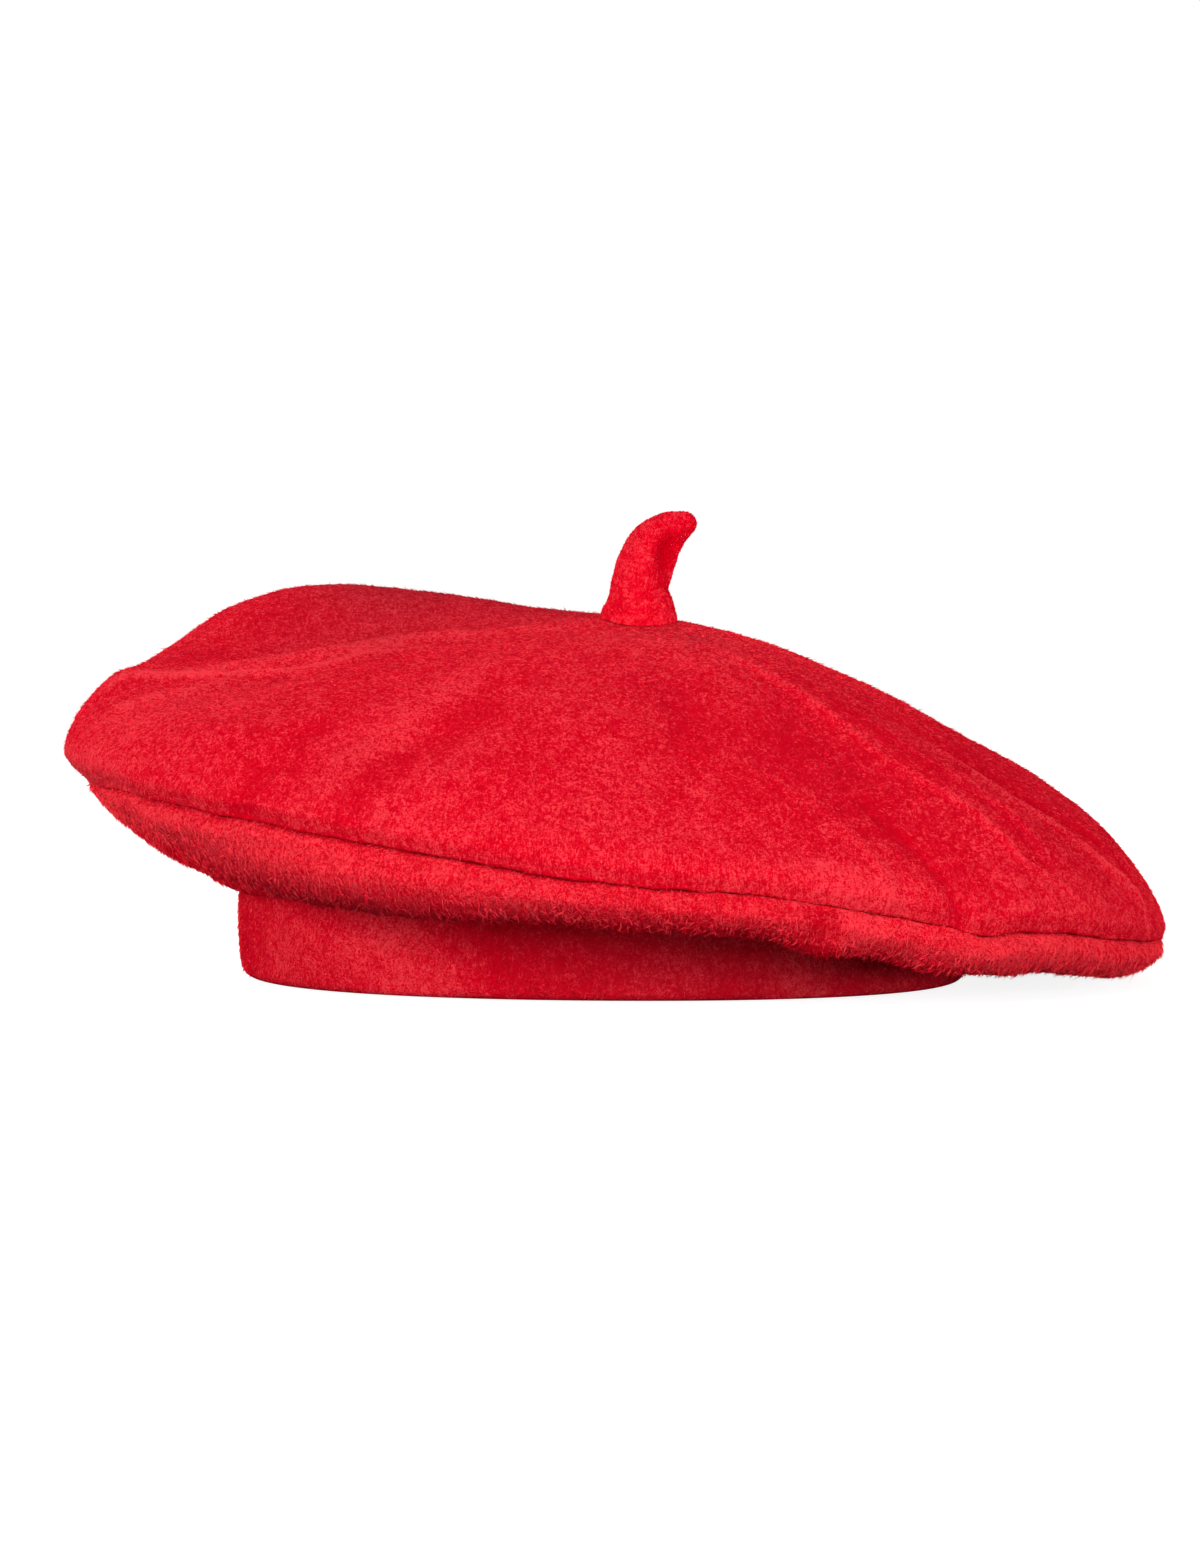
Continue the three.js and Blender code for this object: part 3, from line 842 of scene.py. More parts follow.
def strip(starts, counts):
    """Faces between two rings, and their corners' places, which are (ring, share of a turn)."""
    few, many = min(counts), max(counts)
    if few == many:
        shape = STRIPS["same"]
    elif few == 1:
        shape = STRIPS["opening" if counts[0] == 1 else "closing"]
    elif many == 2 * few:
        shape = STRIPS["doubling" if counts[0] < counts[1] else "halving"]
    else:
        raise ValueError("one ring has neither as many points as the next, nor twice or half as many")
    steps = few if many == 2 * few else many
    at = np.arange(steps)
    faces, places = [], []
    for face in shape:
        turns = [at + turn for _, turn in face]
        corners = [
            starts[ring] + (turn * counts[ring] / steps).astype(int) % counts[ring]
            for (ring, _), turn in zip(face, turns)
        ]
        faces.append(np.stack(corners, 1))
        on_ring = np.broadcast_to([ring for ring, _ in face], faces[-1].shape)
        places.append(np.stack([on_ring, np.stack(turns, 1) / steps], -1))
    return np.concatenate(faces), np.concatenate(places)


def skin(name, rings, place_on_map, closed):
    """Makes a mesh object from rings. place_on_map(sheet, reach, turn) gives places on the piece's map."""
    counts = [len(points) for points in rings.points]
    starts = np.concatenate([[0], np.cumsum(counts)])
    made = {4: [], 3: []}
    for a in range(len(counts) if closed else len(counts) - 1):
        b = (a + 1) % len(counts)
        faces, places = strip((starts[a], starts[b]), (counts[a], counts[b]))
        far = rings.reach[b] if rings.sheets[b] == rings.sheets[a] else rings.reach[a] + MAP_TURN
        reach = np.where(places[..., 0] == 0, rings.reach[a], far)
        made[faces.shape[1]].append((faces, place_on_map(rings.sheets[a], reach, places[..., 1])))
    strips = made[4] + made[3]
    faces = [face for faces, _ in strips for face in faces.tolist()]
    maps = np.concatenate([places.reshape(-1, 2) for _, places in strips])
    piece = new_mesh_object(name, np.concatenate(rings.points) * MM, faces, maps)
    piece.data.polygons.foreach_set("use_smooth", [True] * len(faces))
    return piece


def new_mesh_object(name, points, faces, maps):
    """A mesh object from points in metres and faces, with each corner's place on its map."""
    mesh = bpy.data.meshes.new(name)
    mesh.from_pydata(points.tolist(), [], faces)
    layer = mesh.uv_layers.new(name=MAP_NAME)
    layer.uv.foreach_set("vector", maps.astype(np.float32).ravel())
    mesh.update()
    made = bpy.data.objects.new(name, mesh)
    bpy.context.scene.collection.objects.link(made)
    return made


def read_floats(items, field, width):
    """A field of a mesh's points, corners or values, as rows of width numbers."""
    found = np.empty(len(items) * width, np.float32)
    items.foreach_get(field, found)
    return found.reshape(-1, width).astype(float)


def points_of(mesh):
    """A mesh's points, in millimetres."""
    return read_floats(mesh.vertices, "co", 3) / MM


def roughen(piece, rings, lumps, more):
    """Moves a skin's points along their normals, by lumps, (size, height) pairs, and by a rise of their
    own."""
    mesh = piece.data
    weight = rings.spread(rings.rough)
    points = points_of(mesh)
    normals = read_floats(mesh.vertex_normals, "vector", 3)
    chosen = weight > 0
    rise = np.zeros(len(points)) + more
    for number, (size, height) in enumerate(lumps):
        rise[chosen] += height * noise_at(points[chosen], size, LUMP_OFFSET * (number + 1))
    points += normals * (rise * weight)[:, None]
    mesh.vertices.foreach_set("co", (points * MM).astype(np.float32).ravel())
    mesh.update()


def mark(mesh, name, values):
    """Keeps a value, or a triple of them, on each point of a mesh for the materials and the nap to read."""
    kind, field = ("FLOAT", "value") if np.ndim(values) == 1 else ("FLOAT_VECTOR", "vector")
    attribute = mesh.attributes.new(name, kind, "POINT")
    attribute.data.foreach_set(field, np.asarray(values, np.float32).ravel())


def mark_felt(piece, rings, place, brushed, tone_and_painted_light, away):
    """Marks a skin's points with how much nap they bear, their places among the marks that brushing
    leaves, how strong those are, how much brighter or darker the felt is painted there, as painted light
    and shade and its own tone, and how much painted shade dulls its colour there."""
    mark(piece.data, "nap", rings.spread(rings.nap))
    mark(piece.data, "place", place)
    for name, values in (("brushed", brushed), ("tone_and_painted_light", tone_and_painted_light), ("away", away)):
        mark(piece.data, name, np.broadcast_to(values, len(place)))


def brushed_place(points, radius, run):
    """Places for the marks that brushing leaves: level round a drum of a radius, and along a section's
    run."""
    turn = np.arctan2(points[:, 1], points[:, 0])
    return np.stack([radius * np.cos(turn), radius * np.sin(turn), run], 1)


def disc_map(total):
    """Places on the map of a round piece: its outer side is a large disc and its inner side a small one."""

    def place(sheet, reach, turn):
        centre, radius = LARGE_DISC if sheet == 0 else SMALL_DISC
        away = reach / total * radius
        angle = turn * 2 * math.pi
        return np.stack([centre + away * np.cos(angle), centre + away * np.sin(angle)], -1)

    return place


def strip_map(total, across, up):
    """Places on the map of a piece that goes round a strip, whose start and size are given both ways."""

    def place(sheet, reach, turn):
        return np.stack([across[0] + across[1] * turn, up[0] + up[1] * reach / total], -1)

    return place


# ---------------------------------------------------------------- the four pieces


def all_turns():
    """The azimuths of the points of a ring at the rim, in radians."""
    return np.arange(MOST) / MOST * 2 * math.pi


def count_at(radius):
    """How many points a ring of a radius has."""
    return next(count for limit, count in RING_COUNTS if radius < limit)


def ring_of(section, count, shift_at):
    """A ring of count points, from the section's points at MOST azimuths."""
    chosen = section[:: MOST // count]
    turn = np.arange(count) / count * 2 * math.pi
    shift = shift_at(chosen[:, 0], turn)
    return np.stack([shift + chosen[:, 0] * np.cos(turn), chosen[:, 0] * np.sin(turn), chosen[:, 1]], 1)


def crown_shift(radius, turn):
    """How far the crown's rings are shifted along X: the stalk's place at its middle, and 0 at the rim."""
    return STALK_SHIFT * (1 - radius / crown_at("reach", turn))


def panel_shift(radius, turn):
    """And the under panel's: 0 at the rim, and the band's place at the band."""
    reach = crown_at("reach", turn)
    return BAND_SHIFT * np.minimum(1, (reach - radius) / (reach - band_radius(turn)))


def crown_section(turn, felt):
    """The crown's outer face from its middle to the inside of the rim seam, and its inner face beside
    it."""
    reach = crown_at("reach", turn)
    seam = rim_at("seam", turn) + seam_wander(turn) + SEAM_GAP / 2
    lip = reach - crown_at("tuck", turn)
    edge = spot(reach, seam + crown_at("over", turn))
    bend = np.minimum(seam_bend(turn), LIP_BEND)
    folded = seam_turn(spot(lip - bend, seam + bend), edge, 1, bend, ARC_STEPS)
    points = [spot(0 * reach, CROWN_MIDDLE), spot(reach * STALK_SEAT, crown_at("seat", turn))]
    points += [spot(reach * share, crown_at(column, turn)) for column, share in CROWN_HEIGHTS]
    face = smooth_line(np.array([*points, edge, folded[-1]]), CURVE_STEPS)
    above = np.arange(len(face))[:, None] <= CURVE_STEPS * len(points)
    face[..., 1] += fold_rise(turn, face[..., 0] / reach) * above
    shares = spacing(CROWN_STEPS, *CROWN_FINE)
    outer = np.concatenate([spaced(face, shares), folded[::-1][1:]])
    sewn = np.concatenate([eased(shares, *CROWN_THINS), np.ones(ARC_STEPS)])
    return outer, inner_face(outer, sewn, felt), spot(lip - SEAM_ALLOWANCE, seam)


def crown_skin(felt):
    turn = all_turns()
    outer, inner, allowance = crown_section(turn, felt)
    run = mean_run(outer)
    end = run[-1] + SEAM_ALLOWANCE
    reach = crown_at("reach", turn)
    rings = Rings()
    shares = []
    for j, line in enumerate(outer):
        count = count_at(line[0, 0]) if j else 1
        turned_in = max(0, j - CROWN_STEPS) / ARC_STEPS
        nap = 1 - (1 - SEAM_NAP) * turned_in
        rings.add(ring_of(line, count, crown_shift), 0, run[j], nap, 1 - turned_in)
        share = line[:, 0] / reach if j < np.argmax(outer[:, 0, 0]) else 2 - line[:, 0] / reach
        shares.append(share[:: MOST // count])
    rings.add(ring_of(allowance, MOST, crown_shift), 0, end)
    rings.add(ring_of(allowance + [0, felt.sewn / MM], MOST, crown_shift), 1, end)
    for j in [len(inner) - 1, *range(len(inner) - 3, 2, -2)]:
        count = max(INSIDE_LEAST, count_at(inner[j, 0, 0]) // 2)
        rings.add(ring_of(inner[j], count, crown_shift), 1, run[j])
    rings.add([(STALK_SHIFT, 0, CROWN_MIDDLE - felt.thickness / MM)], 1, 0)
    piece = skin("crown_panel", rings, disc_map(end + MAP_TURN), False)

    points = points_of(piece.data)
    run_at = rings.spread(rings.reach)
    share = np.concatenate(shares)
    outside = len(share)
    turn_at = np.arctan2(points[:outside, 1], points[:outside, 0])
    creases, bright, near_seam, groove = np.zeros((4, len(points)))
    creases[:outside], bright[:outside] = creases_at(turn_at, share, crown_at("reach", turn_at))
    near_seam[:outside] = beside(run_at, run[-1], CROWN_PUCKERED)[:outside]
    groove[:outside] = groove_shade(points, beside(run_at, run[-1], CROWN_GROOVE))[:outside]
    place = brushed_place(points, RIM_RADIUS, run_at)
    roughen(piece, rings, CROWN_LUMPS, creases + CROWN_PUCKER * near_seam * noise_at(place, PUCKER_SIZE))
    # Painted light and shade: highlights on the creases' crests and shade in their furrows, the patches' brighter and
    # darker places, painted light on the lip and beside the seam, and painted shade in the groove; the patches'
    # painted shade also dulls the colour.
    brighter, away = patches_at(points)
    brighter += beside(run_at, run[-1], CROWN_LIP) * patches_round(PAINTED_LIP_LIGHT, points)
    brushed = CROWN_BRUSHED + (1 - CROWN_BRUSHED) * near_seam
    mark_felt(piece, rings, place, brushed, bright + PAINTED_SEAM_HIGHLIGHT * near_seam + brighter - groove, away)
    return piece


def panel_section(turn, felt):
    """The under panel's outer face from the inside of the rim seam to the headband, and its inner face."""
    seam = rim_at("seam", turn) + seam_wander(turn) - SEAM_GAP / 2
    lip = crown_at("reach", turn) - crown_at("tuck", turn)
    low, sag = rim_at("low", turn), rim_at("sag", turn)
    roll = spot(rim_at("roll", turn), seam + (sag - seam) * ROLL_AT)
    bend = seam_bend(turn)
    folded = seam_turn(spot(lip - rim_at("back", turn) - bend, seam - bend), roll, -1, bend, ARC_STEPS)
    join = BAND_HEIGHT + SEWN_GAP / 2
    band = band_radius(turn)
    points = [folded[-1], roll, spot(low, sag), spot((low + band) / 2, (sag + join) / 2)]
    points += [spot(band + felt.thickness / MM, join), spot(band - BAND_WALL, join)]
    shares = spacing(PANEL_STEPS, *PANEL_FINE)
    face = spaced(smooth_line(np.array(points), CURVE_STEPS), shares)
    outer = np.concatenate([folded[:-1], face])
    sewn = np.concatenate([np.ones(ARC_STEPS), 1 - eased(shares, *PANEL_THICKENS)])
    return outer, inner_face(outer, sewn, felt), spot(lip - SEAM_ALLOWANCE, seam)


def panel_skin(felt):
    outer, inner, allowance = panel_section(all_turns(), felt)
    run = mean_run(outer)
    total = MAP_GAP + SEAM_ALLOWANCE + run[-1]
    away = MAP_GAP + run[-1] - run
    rings = Rings()
    rings.add(ring_of(allowance, MOST, panel_shift), 0, total)
    for j, line in enumerate(outer):
        by_band = beside(run[j], run[-1], PANEL_BARE)
        opened = min(1, j / ARC_STEPS)
        nap = (SEAM_NAP + (1 - SEAM_NAP) * opened) * (1 - by_band)
        rings.add(ring_of(line, MOST, panel_shift), 0, away[j], nap, opened * (1 - by_band))
    for j in [len(inner) - 1, *range(len(inner) - 3, 1, -2), 0]:
        count = MOST if j == 0 else MOST // 2
        rings.add(ring_of(inner[j], count, panel_shift), 1, away[j])
    rings.add(ring_of(allowance - [0, felt.sewn / MM], MOST, panel_shift), 1, total)
    piece = skin("rim_panel", rings, disc_map(total + MAP_TURN), True)

    run_at = rings.spread(rings.reach)
    place = brushed_place(points_of(piece.data), RIM_RADIUS, run_at)
    edge = total - SEAM_ALLOWANCE
    near_seam = beside(run_at, edge, PANEL_PUCKERED)
    roughen(piece, rings, PANEL_LUMPS, PANEL_PUCKER * near_seam * noise_at(place, PUCKER_SIZE))
    # Painted light on the roll's top, painted shade on its underside and in the groove, painted light and shade in
    # patches, and painted shade that dulls the colour on the panel and under the roll.
    top = beside(run_at, edge, PANEL_TOP)
    groove = groove_shade(place, beside(run_at, edge, PANEL_GROOVE))
    tone_and_painted_light = PAINTED_TOP_LIGHT * top - PAINTED_UNDERSIDE_SHADE + patches_round(PANEL_PAINTED_LIGHT, place) - groove
    away = patches_round(PANEL_PAINTED_SHADE, place) + (1 - top) * patches_round(UNDERSIDE_PAINTED_SHADE, place)
    mark_felt(piece, rings, place, 1, tone_and_painted_light, away)
    return piece


def band_wave(turn, height):
    """How far the band's soft wall stands out from its plain form at azimuths, at one height."""
    waves = summed_round(BAND_WAVES, turn)
    drawn_in = max(0, 1 - height / HEM_HEIGHT) ** 2
    waves = waves * math.sin(math.pi * min(1, BAND_WAVE_TOP - height / BAND_HEIGHT))
    return waves - HEM_INSET * drawn_in * nearness(turn, *HEM_LEAN)


def band_section(layer):
    """The folded band's section, round its outside, its inside and the slit between its layers, as (how
    far it lies inside the wall's outer face, height) points, and how many of them are on its faces."""
    top = BAND_HEIGHT - SEWN_GAP / 2
    bend = np.linspace(0, math.pi / 2, HEM_STEPS + 1)[1:]
    outside = [(0, z) for z in np.linspace(top, BAND_BEND, BAND_STEPS)]
    outside += [(BAND_BEND * (1 - math.cos(a)), BAND_BEND * (1 - math.sin(a))) for a in bend]
    faces = outside + [(BAND_WALL - inset, z) for inset, z in outside[::-1]]
    middle = BAND_WALL / 2
    slit = middle - layer
    hidden = [(middle + slit, z) for z in (top, BAND_HEIGHT / 2, layer + SLIT_END)]
    return faces + hidden + [(middle, layer)] + [(BAND_WALL - x, z) for x, z in hidden[::-1]], len(faces)


def band_skin(felt):
    layer = felt.band_layer / MM
    section, faced = band_section(layer)
    top = section[0][1]
    run = np.concatenate([[0], np.cumsum(np.linalg.norm(np.diff(section, axis=0), axis=1))])
    turn = all_turns()
    rings = Rings()
    for j, (inset, height) in enumerate(section):
        radius = band_radius(turn) - inset + band_wave(turn, height)
        points = [BAND_SHIFT + radius * np.cos(turn), radius * np.sin(turn), np.full(MOST, float(height))]
        edge = min(1, max(0, height / BAND_BEND - BAND_NAP_LOW)) * min(1, (top - height) / BAND_NAP_TOP)
        rings.add(np.stack(points, 1), 0, run[j], edge * (j < faced))
    piece = skin("band_strip", rings, strip_map(run[-1] + layer + MAP_TURN, *BAND_MAP), True)

    place = brushed_place(points_of(piece.data), BAND_RADIUS, rings.spread(rings.reach))
    roughen(piece, rings, BAND_LUMPS, 0)
    # Its random brighter patches are the felt's own tone; the listed patches add painted light and painted shadow
    # under the roll, and painted shade that dulls the colour.
    strength, size = BAND_RAISED
    tone_and_painted_light = strength * noise_at(place, size) + patches_round(BAND_PAINTED_LIGHT, place)
    mark_felt(piece, rings, place, BAND_BRUSHED, tone_and_painted_light, patches_round(BAND_PAINTED_SHADE, place))
    return piece


def stalk_skin():
    table = np.array(STALK, float)
    path, size = (smooth_line(table[:, None, k : k + 2], STALK_CURVE_STEPS)[:, 0] for k in (0, 2))
    length = np.concatenate([[0], np.cumsum(np.linalg.norm(np.diff(path, axis=0), axis=1))])
    at = np.linspace(0, length[-1], STALK_STEPS + 1)
    middle, sizes = (
        np.stack([np.interp(at, length, line[:, k]) for k in (0, 1)], 1) for line in (path, size)
    )
    along = np.gradient(middle, axis=0)
    lean = np.arctan2(along[:, 0], along[:, 1]) * eased(at, *STALK_LEANS)
    ahead = np.array([math.sin(lean[-1]), math.cos(lean[-1])])
    turn = np.arange(STALK_AROUND) / STALK_AROUND * 2 * math.pi
    foot = CROWN_MIDDLE + SEWN_GAP

    def ring(centre, wide, deep, leaning):
        """An oval ring, which follows the seat under it near the foot."""
        x = centre[0] + wide * np.cos(turn) * math.cos(leaning)
        y = deep * np.sin(turn)
        up = centre[1] - wide * np.cos(turn) * math.sin(leaning)
        sunk = (seat_height(x, y) - CROWN_MIDDLE) * (1 - eased(up, *STALK_SEATED))
        return np.stack([STALK_SHIFT + x, y, SEWN_GAP + up + CROWN_MIDDLE + sunk], 1)[::-1]

    rings = Rings()
    rings.add([(STALK_SHIFT, 0, foot)], 0, 0)
    rings.add(ring(middle[0], *(sizes[0] / 2), 0), 0, STALK_FOOT_RUN / 2)
    for j in range(STALK_STEPS + 1):
        nap = min(1, j / STALK_BARE_STEPS)
        rings.add(ring(middle[j], *sizes[j], lean[j]), 0, STALK_FOOT_RUN + at[j], nap)
    ball = sizes[-1] / math.cos(TIP_TAPER)
    tip_radius = ball.mean()
    for angle in np.linspace(TIP_TAPER, math.pi / 2, TIP_STEPS + 1)[1:-1]:
        centre = middle[-1] + ahead * tip_radius * (math.sin(angle) - math.sin(TIP_TAPER))
        reach = STALK_FOOT_RUN + at[-1] + tip_radius * (angle - TIP_TAPER)
        rings.add(ring(centre, *(ball * math.cos(angle)), lean[-1]), 0, reach, 1)
    tip = middle[-1] + ahead * tip_radius * (1 - math.sin(TIP_TAPER))
    reach = TIP_RUN + at[-1] + tip_radius * (math.pi / 2 - TIP_TAPER)
    rings.add([(STALK_SHIFT + tip[0], 0, foot + tip[1])], 0, reach, 1)
    piece = skin("stalk_tab", rings, strip_map(rings.reach[-1] + MAP_TURN, *STALK_MAP), False)

    points = points_of(piece.data)
    dent = STALK_DENT
    off = (points[:, [0, 2]] - [STALK_SHIFT + dent["out"], foot + dent["up"]]) * [1, dent["slim"]]
    away = np.linalg.norm(off, axis=1) / dent["wide"]
    dented = -dent["deep"] * np.exp(-(away**2)) * eased(-points[:, 1], *dent["front"])
    roughen(piece, rings, STALK_LUMPS, dented)
    place = brushed_place(points - [STALK_SHIFT, 0, 0], STALK_DRUM, rings.spread(rings.reach))
    # The dent's depth also darkens its colour as painted shade.
    mark_felt(piece, rings, place, STALK_BRUSHED, PAINTED_DENT_SHADE * dented, 0)
    return piece


# ---------------------------------------------------------------- nap


def nap_on(piece, name, seed, pile, look, way_at):
    """A pile of short leaning fibres on a piece's outer side, each a closed spike of three sides. way_at
    gives the ways that the fibres are brushed at points."""
    mesh = piece.data
    mesh.calc_loop_triangles()
    corners, loops = np.empty((2, len(mesh.loop_triangles), 3), np.int32)
    mesh.loop_triangles.foreach_get("vertices", corners.ravel())
    mesh.loop_triangles.foreach_get("loops", loops.ravel())
    points = points_of(mesh)
    normals = read_floats(mesh.vertex_normals, "vector", 3)
    bearing, tone_and_painted_light, away = (
        read_floats(mesh.attributes[kind].data, "value", 1)[:, 0] for kind in ("nap", "tone_and_painted_light", "away")
    )
    maps = read_floats(mesh.uv_layers[MAP_NAME].uv, "vector", 2)
    a, b, c = (points[corners[:, k]] for k in range(3))
    size = np.linalg.norm(np.cross(b - a, c - a), axis=1) * bearing[corners].min(1)
    rng = np.random.default_rng(seed)
    count = look["count"]
    chosen = rng.choice(len(size), count, p=size / size.sum())
    u, v = rng.random((2, count))
    over = u + v > 1
    u, v = np.where(over, 1 - u, u), np.where(over, 1 - v, v)
    share = np.stack([1 - u - v, u, v], 1)[..., None]
    nearest = corners[chosen, 0]
    root = (points[corners[chosen]] * share).sum(1)
    normal = unit((normals[corners[chosen]] * share).sum(1))
    on_map = (maps[loops[chosen]] * share).sum(1)
    way = way_at(root)
    way = unit(way - normal * (way * normal).sum(1, keepdims=True))
    across = np.cross(normal, way)
    swirl = look["swirl"] * noise_at(root, look["swirl_size"], SWIRL_OFFSET)
    swirl += rng.normal(0, look["scatter"], count)
    way = way * np.cos(swirl)[:, None] + across * np.sin(swirl)[:, None]
    across = np.cross(normal, way)
    lean = np.radians(np.clip(rng.normal(look["lean"], look["lean_spread"], count), *FIBRE_LEANS))[:, None]
    length = pile.length / MM * look["length"] * np.exp(rng.normal(0, FIBRE_LENGTH_SPREAD, (count, 1)))
    width = pile.width / MM * np.exp(rng.normal(0, FIBRE_WIDTH_SPREAD, (count, 1)))
    base = root - normal * FIBRE_SUNK
    tip = root + (way * np.cos(lean) + normal * np.sin(lean)) * length
    ridge = base + normal * width * FIBRE_THICKNESS
    foot = (base + across * width / 2, base - across * width / 2)
    vertices = np.stack([*foot, ridge, tip], 1).reshape(-1, 3)
    vertices[:, 2] = np.maximum(vertices[:, 2], 0)
    first = np.arange(count)[:, None] * 4
    faces = np.concatenate([first + side for side in ((0, 3, 2), (2, 3, 1), (1, 3, 0), (0, 2, 1))])
    maps = (on_map[:, None] + FIBRE_ON_MAP).reshape(-1, 2)
    nap = new_mesh_object(name, vertices * MM, faces.tolist(), maps[faces.ravel()])
    varied = rng.normal(0, look["varied"], count)
    # Each fibre takes the painted light and painted shade marked on the felt under it, with a random brightness of its
    # own.
    mark(nap.data, "tone_and_painted_light", np.repeat(tone_and_painted_light[nearest] + varied, 4))
    mark(nap.data, "away", np.repeat(away[nearest], 4))
    return nap


def unit(vectors):
    return vectors / np.maximum(np.linalg.norm(vectors, axis=1, keepdims=True), LEAST_LENGTH)


def outward(points, shift):
    """The level direction away from the upright axis at shift."""
    return unit(points * [1, 1, 0] - [shift, 0, 0])


# ---------------------------------------------------------------- materials


def add_node(tree, kind, **inputs):
    """A node of a kind, with inputs set by name, or by number as _0, and linked where a socket is given."""
    node = tree.nodes.new(kind)
    for key, value in inputs.items():
        socket = node.inputs[int(key[1:])] if key[0] == "_" else node.inputs[key]
        if isinstance(value, bpy.types.NodeSocket):
            tree.links.new(value, socket)
        else:
            socket.default_value = value
    return node


def add_math(tree, operation, a, b):
    node = add_node(tree, "ShaderNodeMath", _0=a, _1=b)
    node.operation = operation
    return node.outputs[0]


def add_scaled(tree, vector, by):
    node = add_node(tree, "ShaderNodeVectorMath", _0=vector, _1=by)
    node.operation = "MULTIPLY"
    return node.outputs[0]


def add_sum(tree, terms):
    """The sum of (socket, share) pairs, each times its share."""
    total = None
    for socket, share in terms:
        part = add_math(tree, "MULTIPLY", socket, share)
        total = part if total is None else add_math(tree, "ADD", total, part)
    return total


def add_noise(tree, place, size, detail, distortion):
    """Noise with lumps of a size in metres."""
    node = add_node(tree, "ShaderNodeTexNoise", Vector=place, Scale=1 / size, Detail=detail)
    node.inputs["Roughness"].default_value = NOISE_ROUGHNESS
    node.inputs["Distortion"].default_value = distortion
    return node.outputs["Fac"]


def add_curls(tree, place, size, distortion):
    """Thin winding lines, 1 on their middles and 0 away from them, like short curled fibres."""
    level = add_noise(tree, place, size, 0, distortion)
    off = add_math(tree, "ABSOLUTE", add_math(tree, "SUBTRACT", level, NOISE_MIDDLE), 0)
    line = add_math(tree, "SUBTRACT", 1, add_math(tree, "MULTIPLY", off, CURL_SHARPNESS))
    return add_math(tree, "MAXIMUM", line, 0)


def add_ramp(tree, value, stops):
    node = add_node(tree, "ShaderNodeValToRGB", Fac=value)
    ramp = node.color_ramp
    while len(ramp.elements) < len(stops):
        ramp.elements.new(0.5)
    for element, (at, colour) in zip(ramp.elements, stops):
        element.position = at
        element.color = (*colour, 1)
    return node.outputs["Color"]


def add_attribute(tree, name):
    node = tree.nodes.new("ShaderNodeAttribute")
    node.attribute_name = name
    return node


def new_material(name):
    """A material and its emptied node tree."""
    material = bpy.data.materials.new(name)
    material.use_nodes = True
    material.node_tree.nodes.clear()
    return material, material.node_tree


def add_felt_shader(tree, colour, wool, look):
    """The shader of wool: matt, with a soft sheen."""
    shader = tree.nodes.new("ShaderNodeBsdfPrincipled")
    tree.links.new(colour, shader.inputs["Base Color"])
    shader.inputs["Roughness"].default_value = WOOL_ROUGHNESS
    shader.inputs["Specular IOR Level"].default_value = look["specular"]
    shader.inputs["Sheen Weight"].default_value = wool.sheen
    shader.inputs["Sheen Roughness"].default_value = SHEEN_ROUGHNESS
    shader.inputs["Sheen Tint"].default_value = (*wool.sheen_colour, 1)
    out = tree.nodes.new("ShaderNodeOutputMaterial")
    tree.links.new(shader.outputs[0], out.inputs["Surface"])
    return shader


def add_wool_colour(tree, tone, wool, look):
    """The wool's colour at a tone, mixed towards duller, darker colours by the away mark, which holds
    painted shade.
    """
    bright, dull = (
        add_ramp(tree, tone, [(at, [channel * look["bright"] for channel in shade]) for at, shade in stops])
        for stops in (
            zip(look["tones"], (wool.dark, wool.middle, wool.bright)),
            zip(look["tones"][::2], (wool.painted_shade_dark, wool.painted_shade)),
        )
    )
    mixed = tree.nodes.new("ShaderNodeMix")
    mixed.data_type = "RGBA"
    away = add_attribute(tree, "away").outputs["Fac"]
    for socket, value in zip(COLOUR_MIX_SOCKETS, (away, bright, dull)):
        tree.links.new(value, mixed.inputs[socket])
    return mixed.outputs[COLOUR_MIX_RESULT]


def felt_material(name, wool, look):
    """Wool felt: mottled and streaked colour, with the painted light and shade that its marks hold, a matt
    surface with a soft sheen, and the relief of its nap."""
    material, tree = new_material(name)
    object_place = tree.nodes.new("ShaderNodeTexCoord").outputs["Object"]
    place = add_scaled(tree, object_place, look["grain"])
    noises = [add_noise(tree, place, size * MM, NOISE_DETAIL, bend) for size, bend, _ in look["mottle"]]
    brushed_along = add_scaled(tree, add_attribute(tree, "place").outputs["Vector"], look["stretch"])
    streak = add_noise(tree, brushed_along, *STREAK)
    strength = add_math(tree, "MULTIPLY", add_attribute(tree, "brushed").outputs["Fac"], look["streak"])
    mixed = add_node(tree, "ShaderNodeMix", Factor=strength, A=noises[0], B=streak)
    grain = mixed.outputs[0]
    shares = [share for _, _, share in look["mottle"]]
    terms = [(grain, shares[0]), *zip(noises[1:], shares[1:])]
    tone_and_painted_light = add_attribute(tree, "tone_and_painted_light").outputs["Fac"]
    curls = [add_curls(tree, place, size * MM, bend) for size, bend in look["curls"]]
    curled = add_math(tree, "SUBTRACT", add_math(tree, "MAXIMUM", *curls), NOISE_MIDDLE)
    tone = add_sum(tree, [*terms, (tone_and_painted_light, look["tone_and_painted_light"]), (curled, look["curl"])])
    colour = add_wool_colour(tree, tone, wool, look)
    height = add_sum(tree, zip((grain, curled, noises[1]), RELIEF_SHARES))
    depth = look["relief"] * MM
    bump = add_node(tree, "ShaderNodeBump", Strength=look["bump"], Distance=depth, Height=height)
    shader = add_felt_shader(tree, colour, wool, look)
    tree.links.new(bump.outputs[0], shader.inputs["Normal"])
    return material


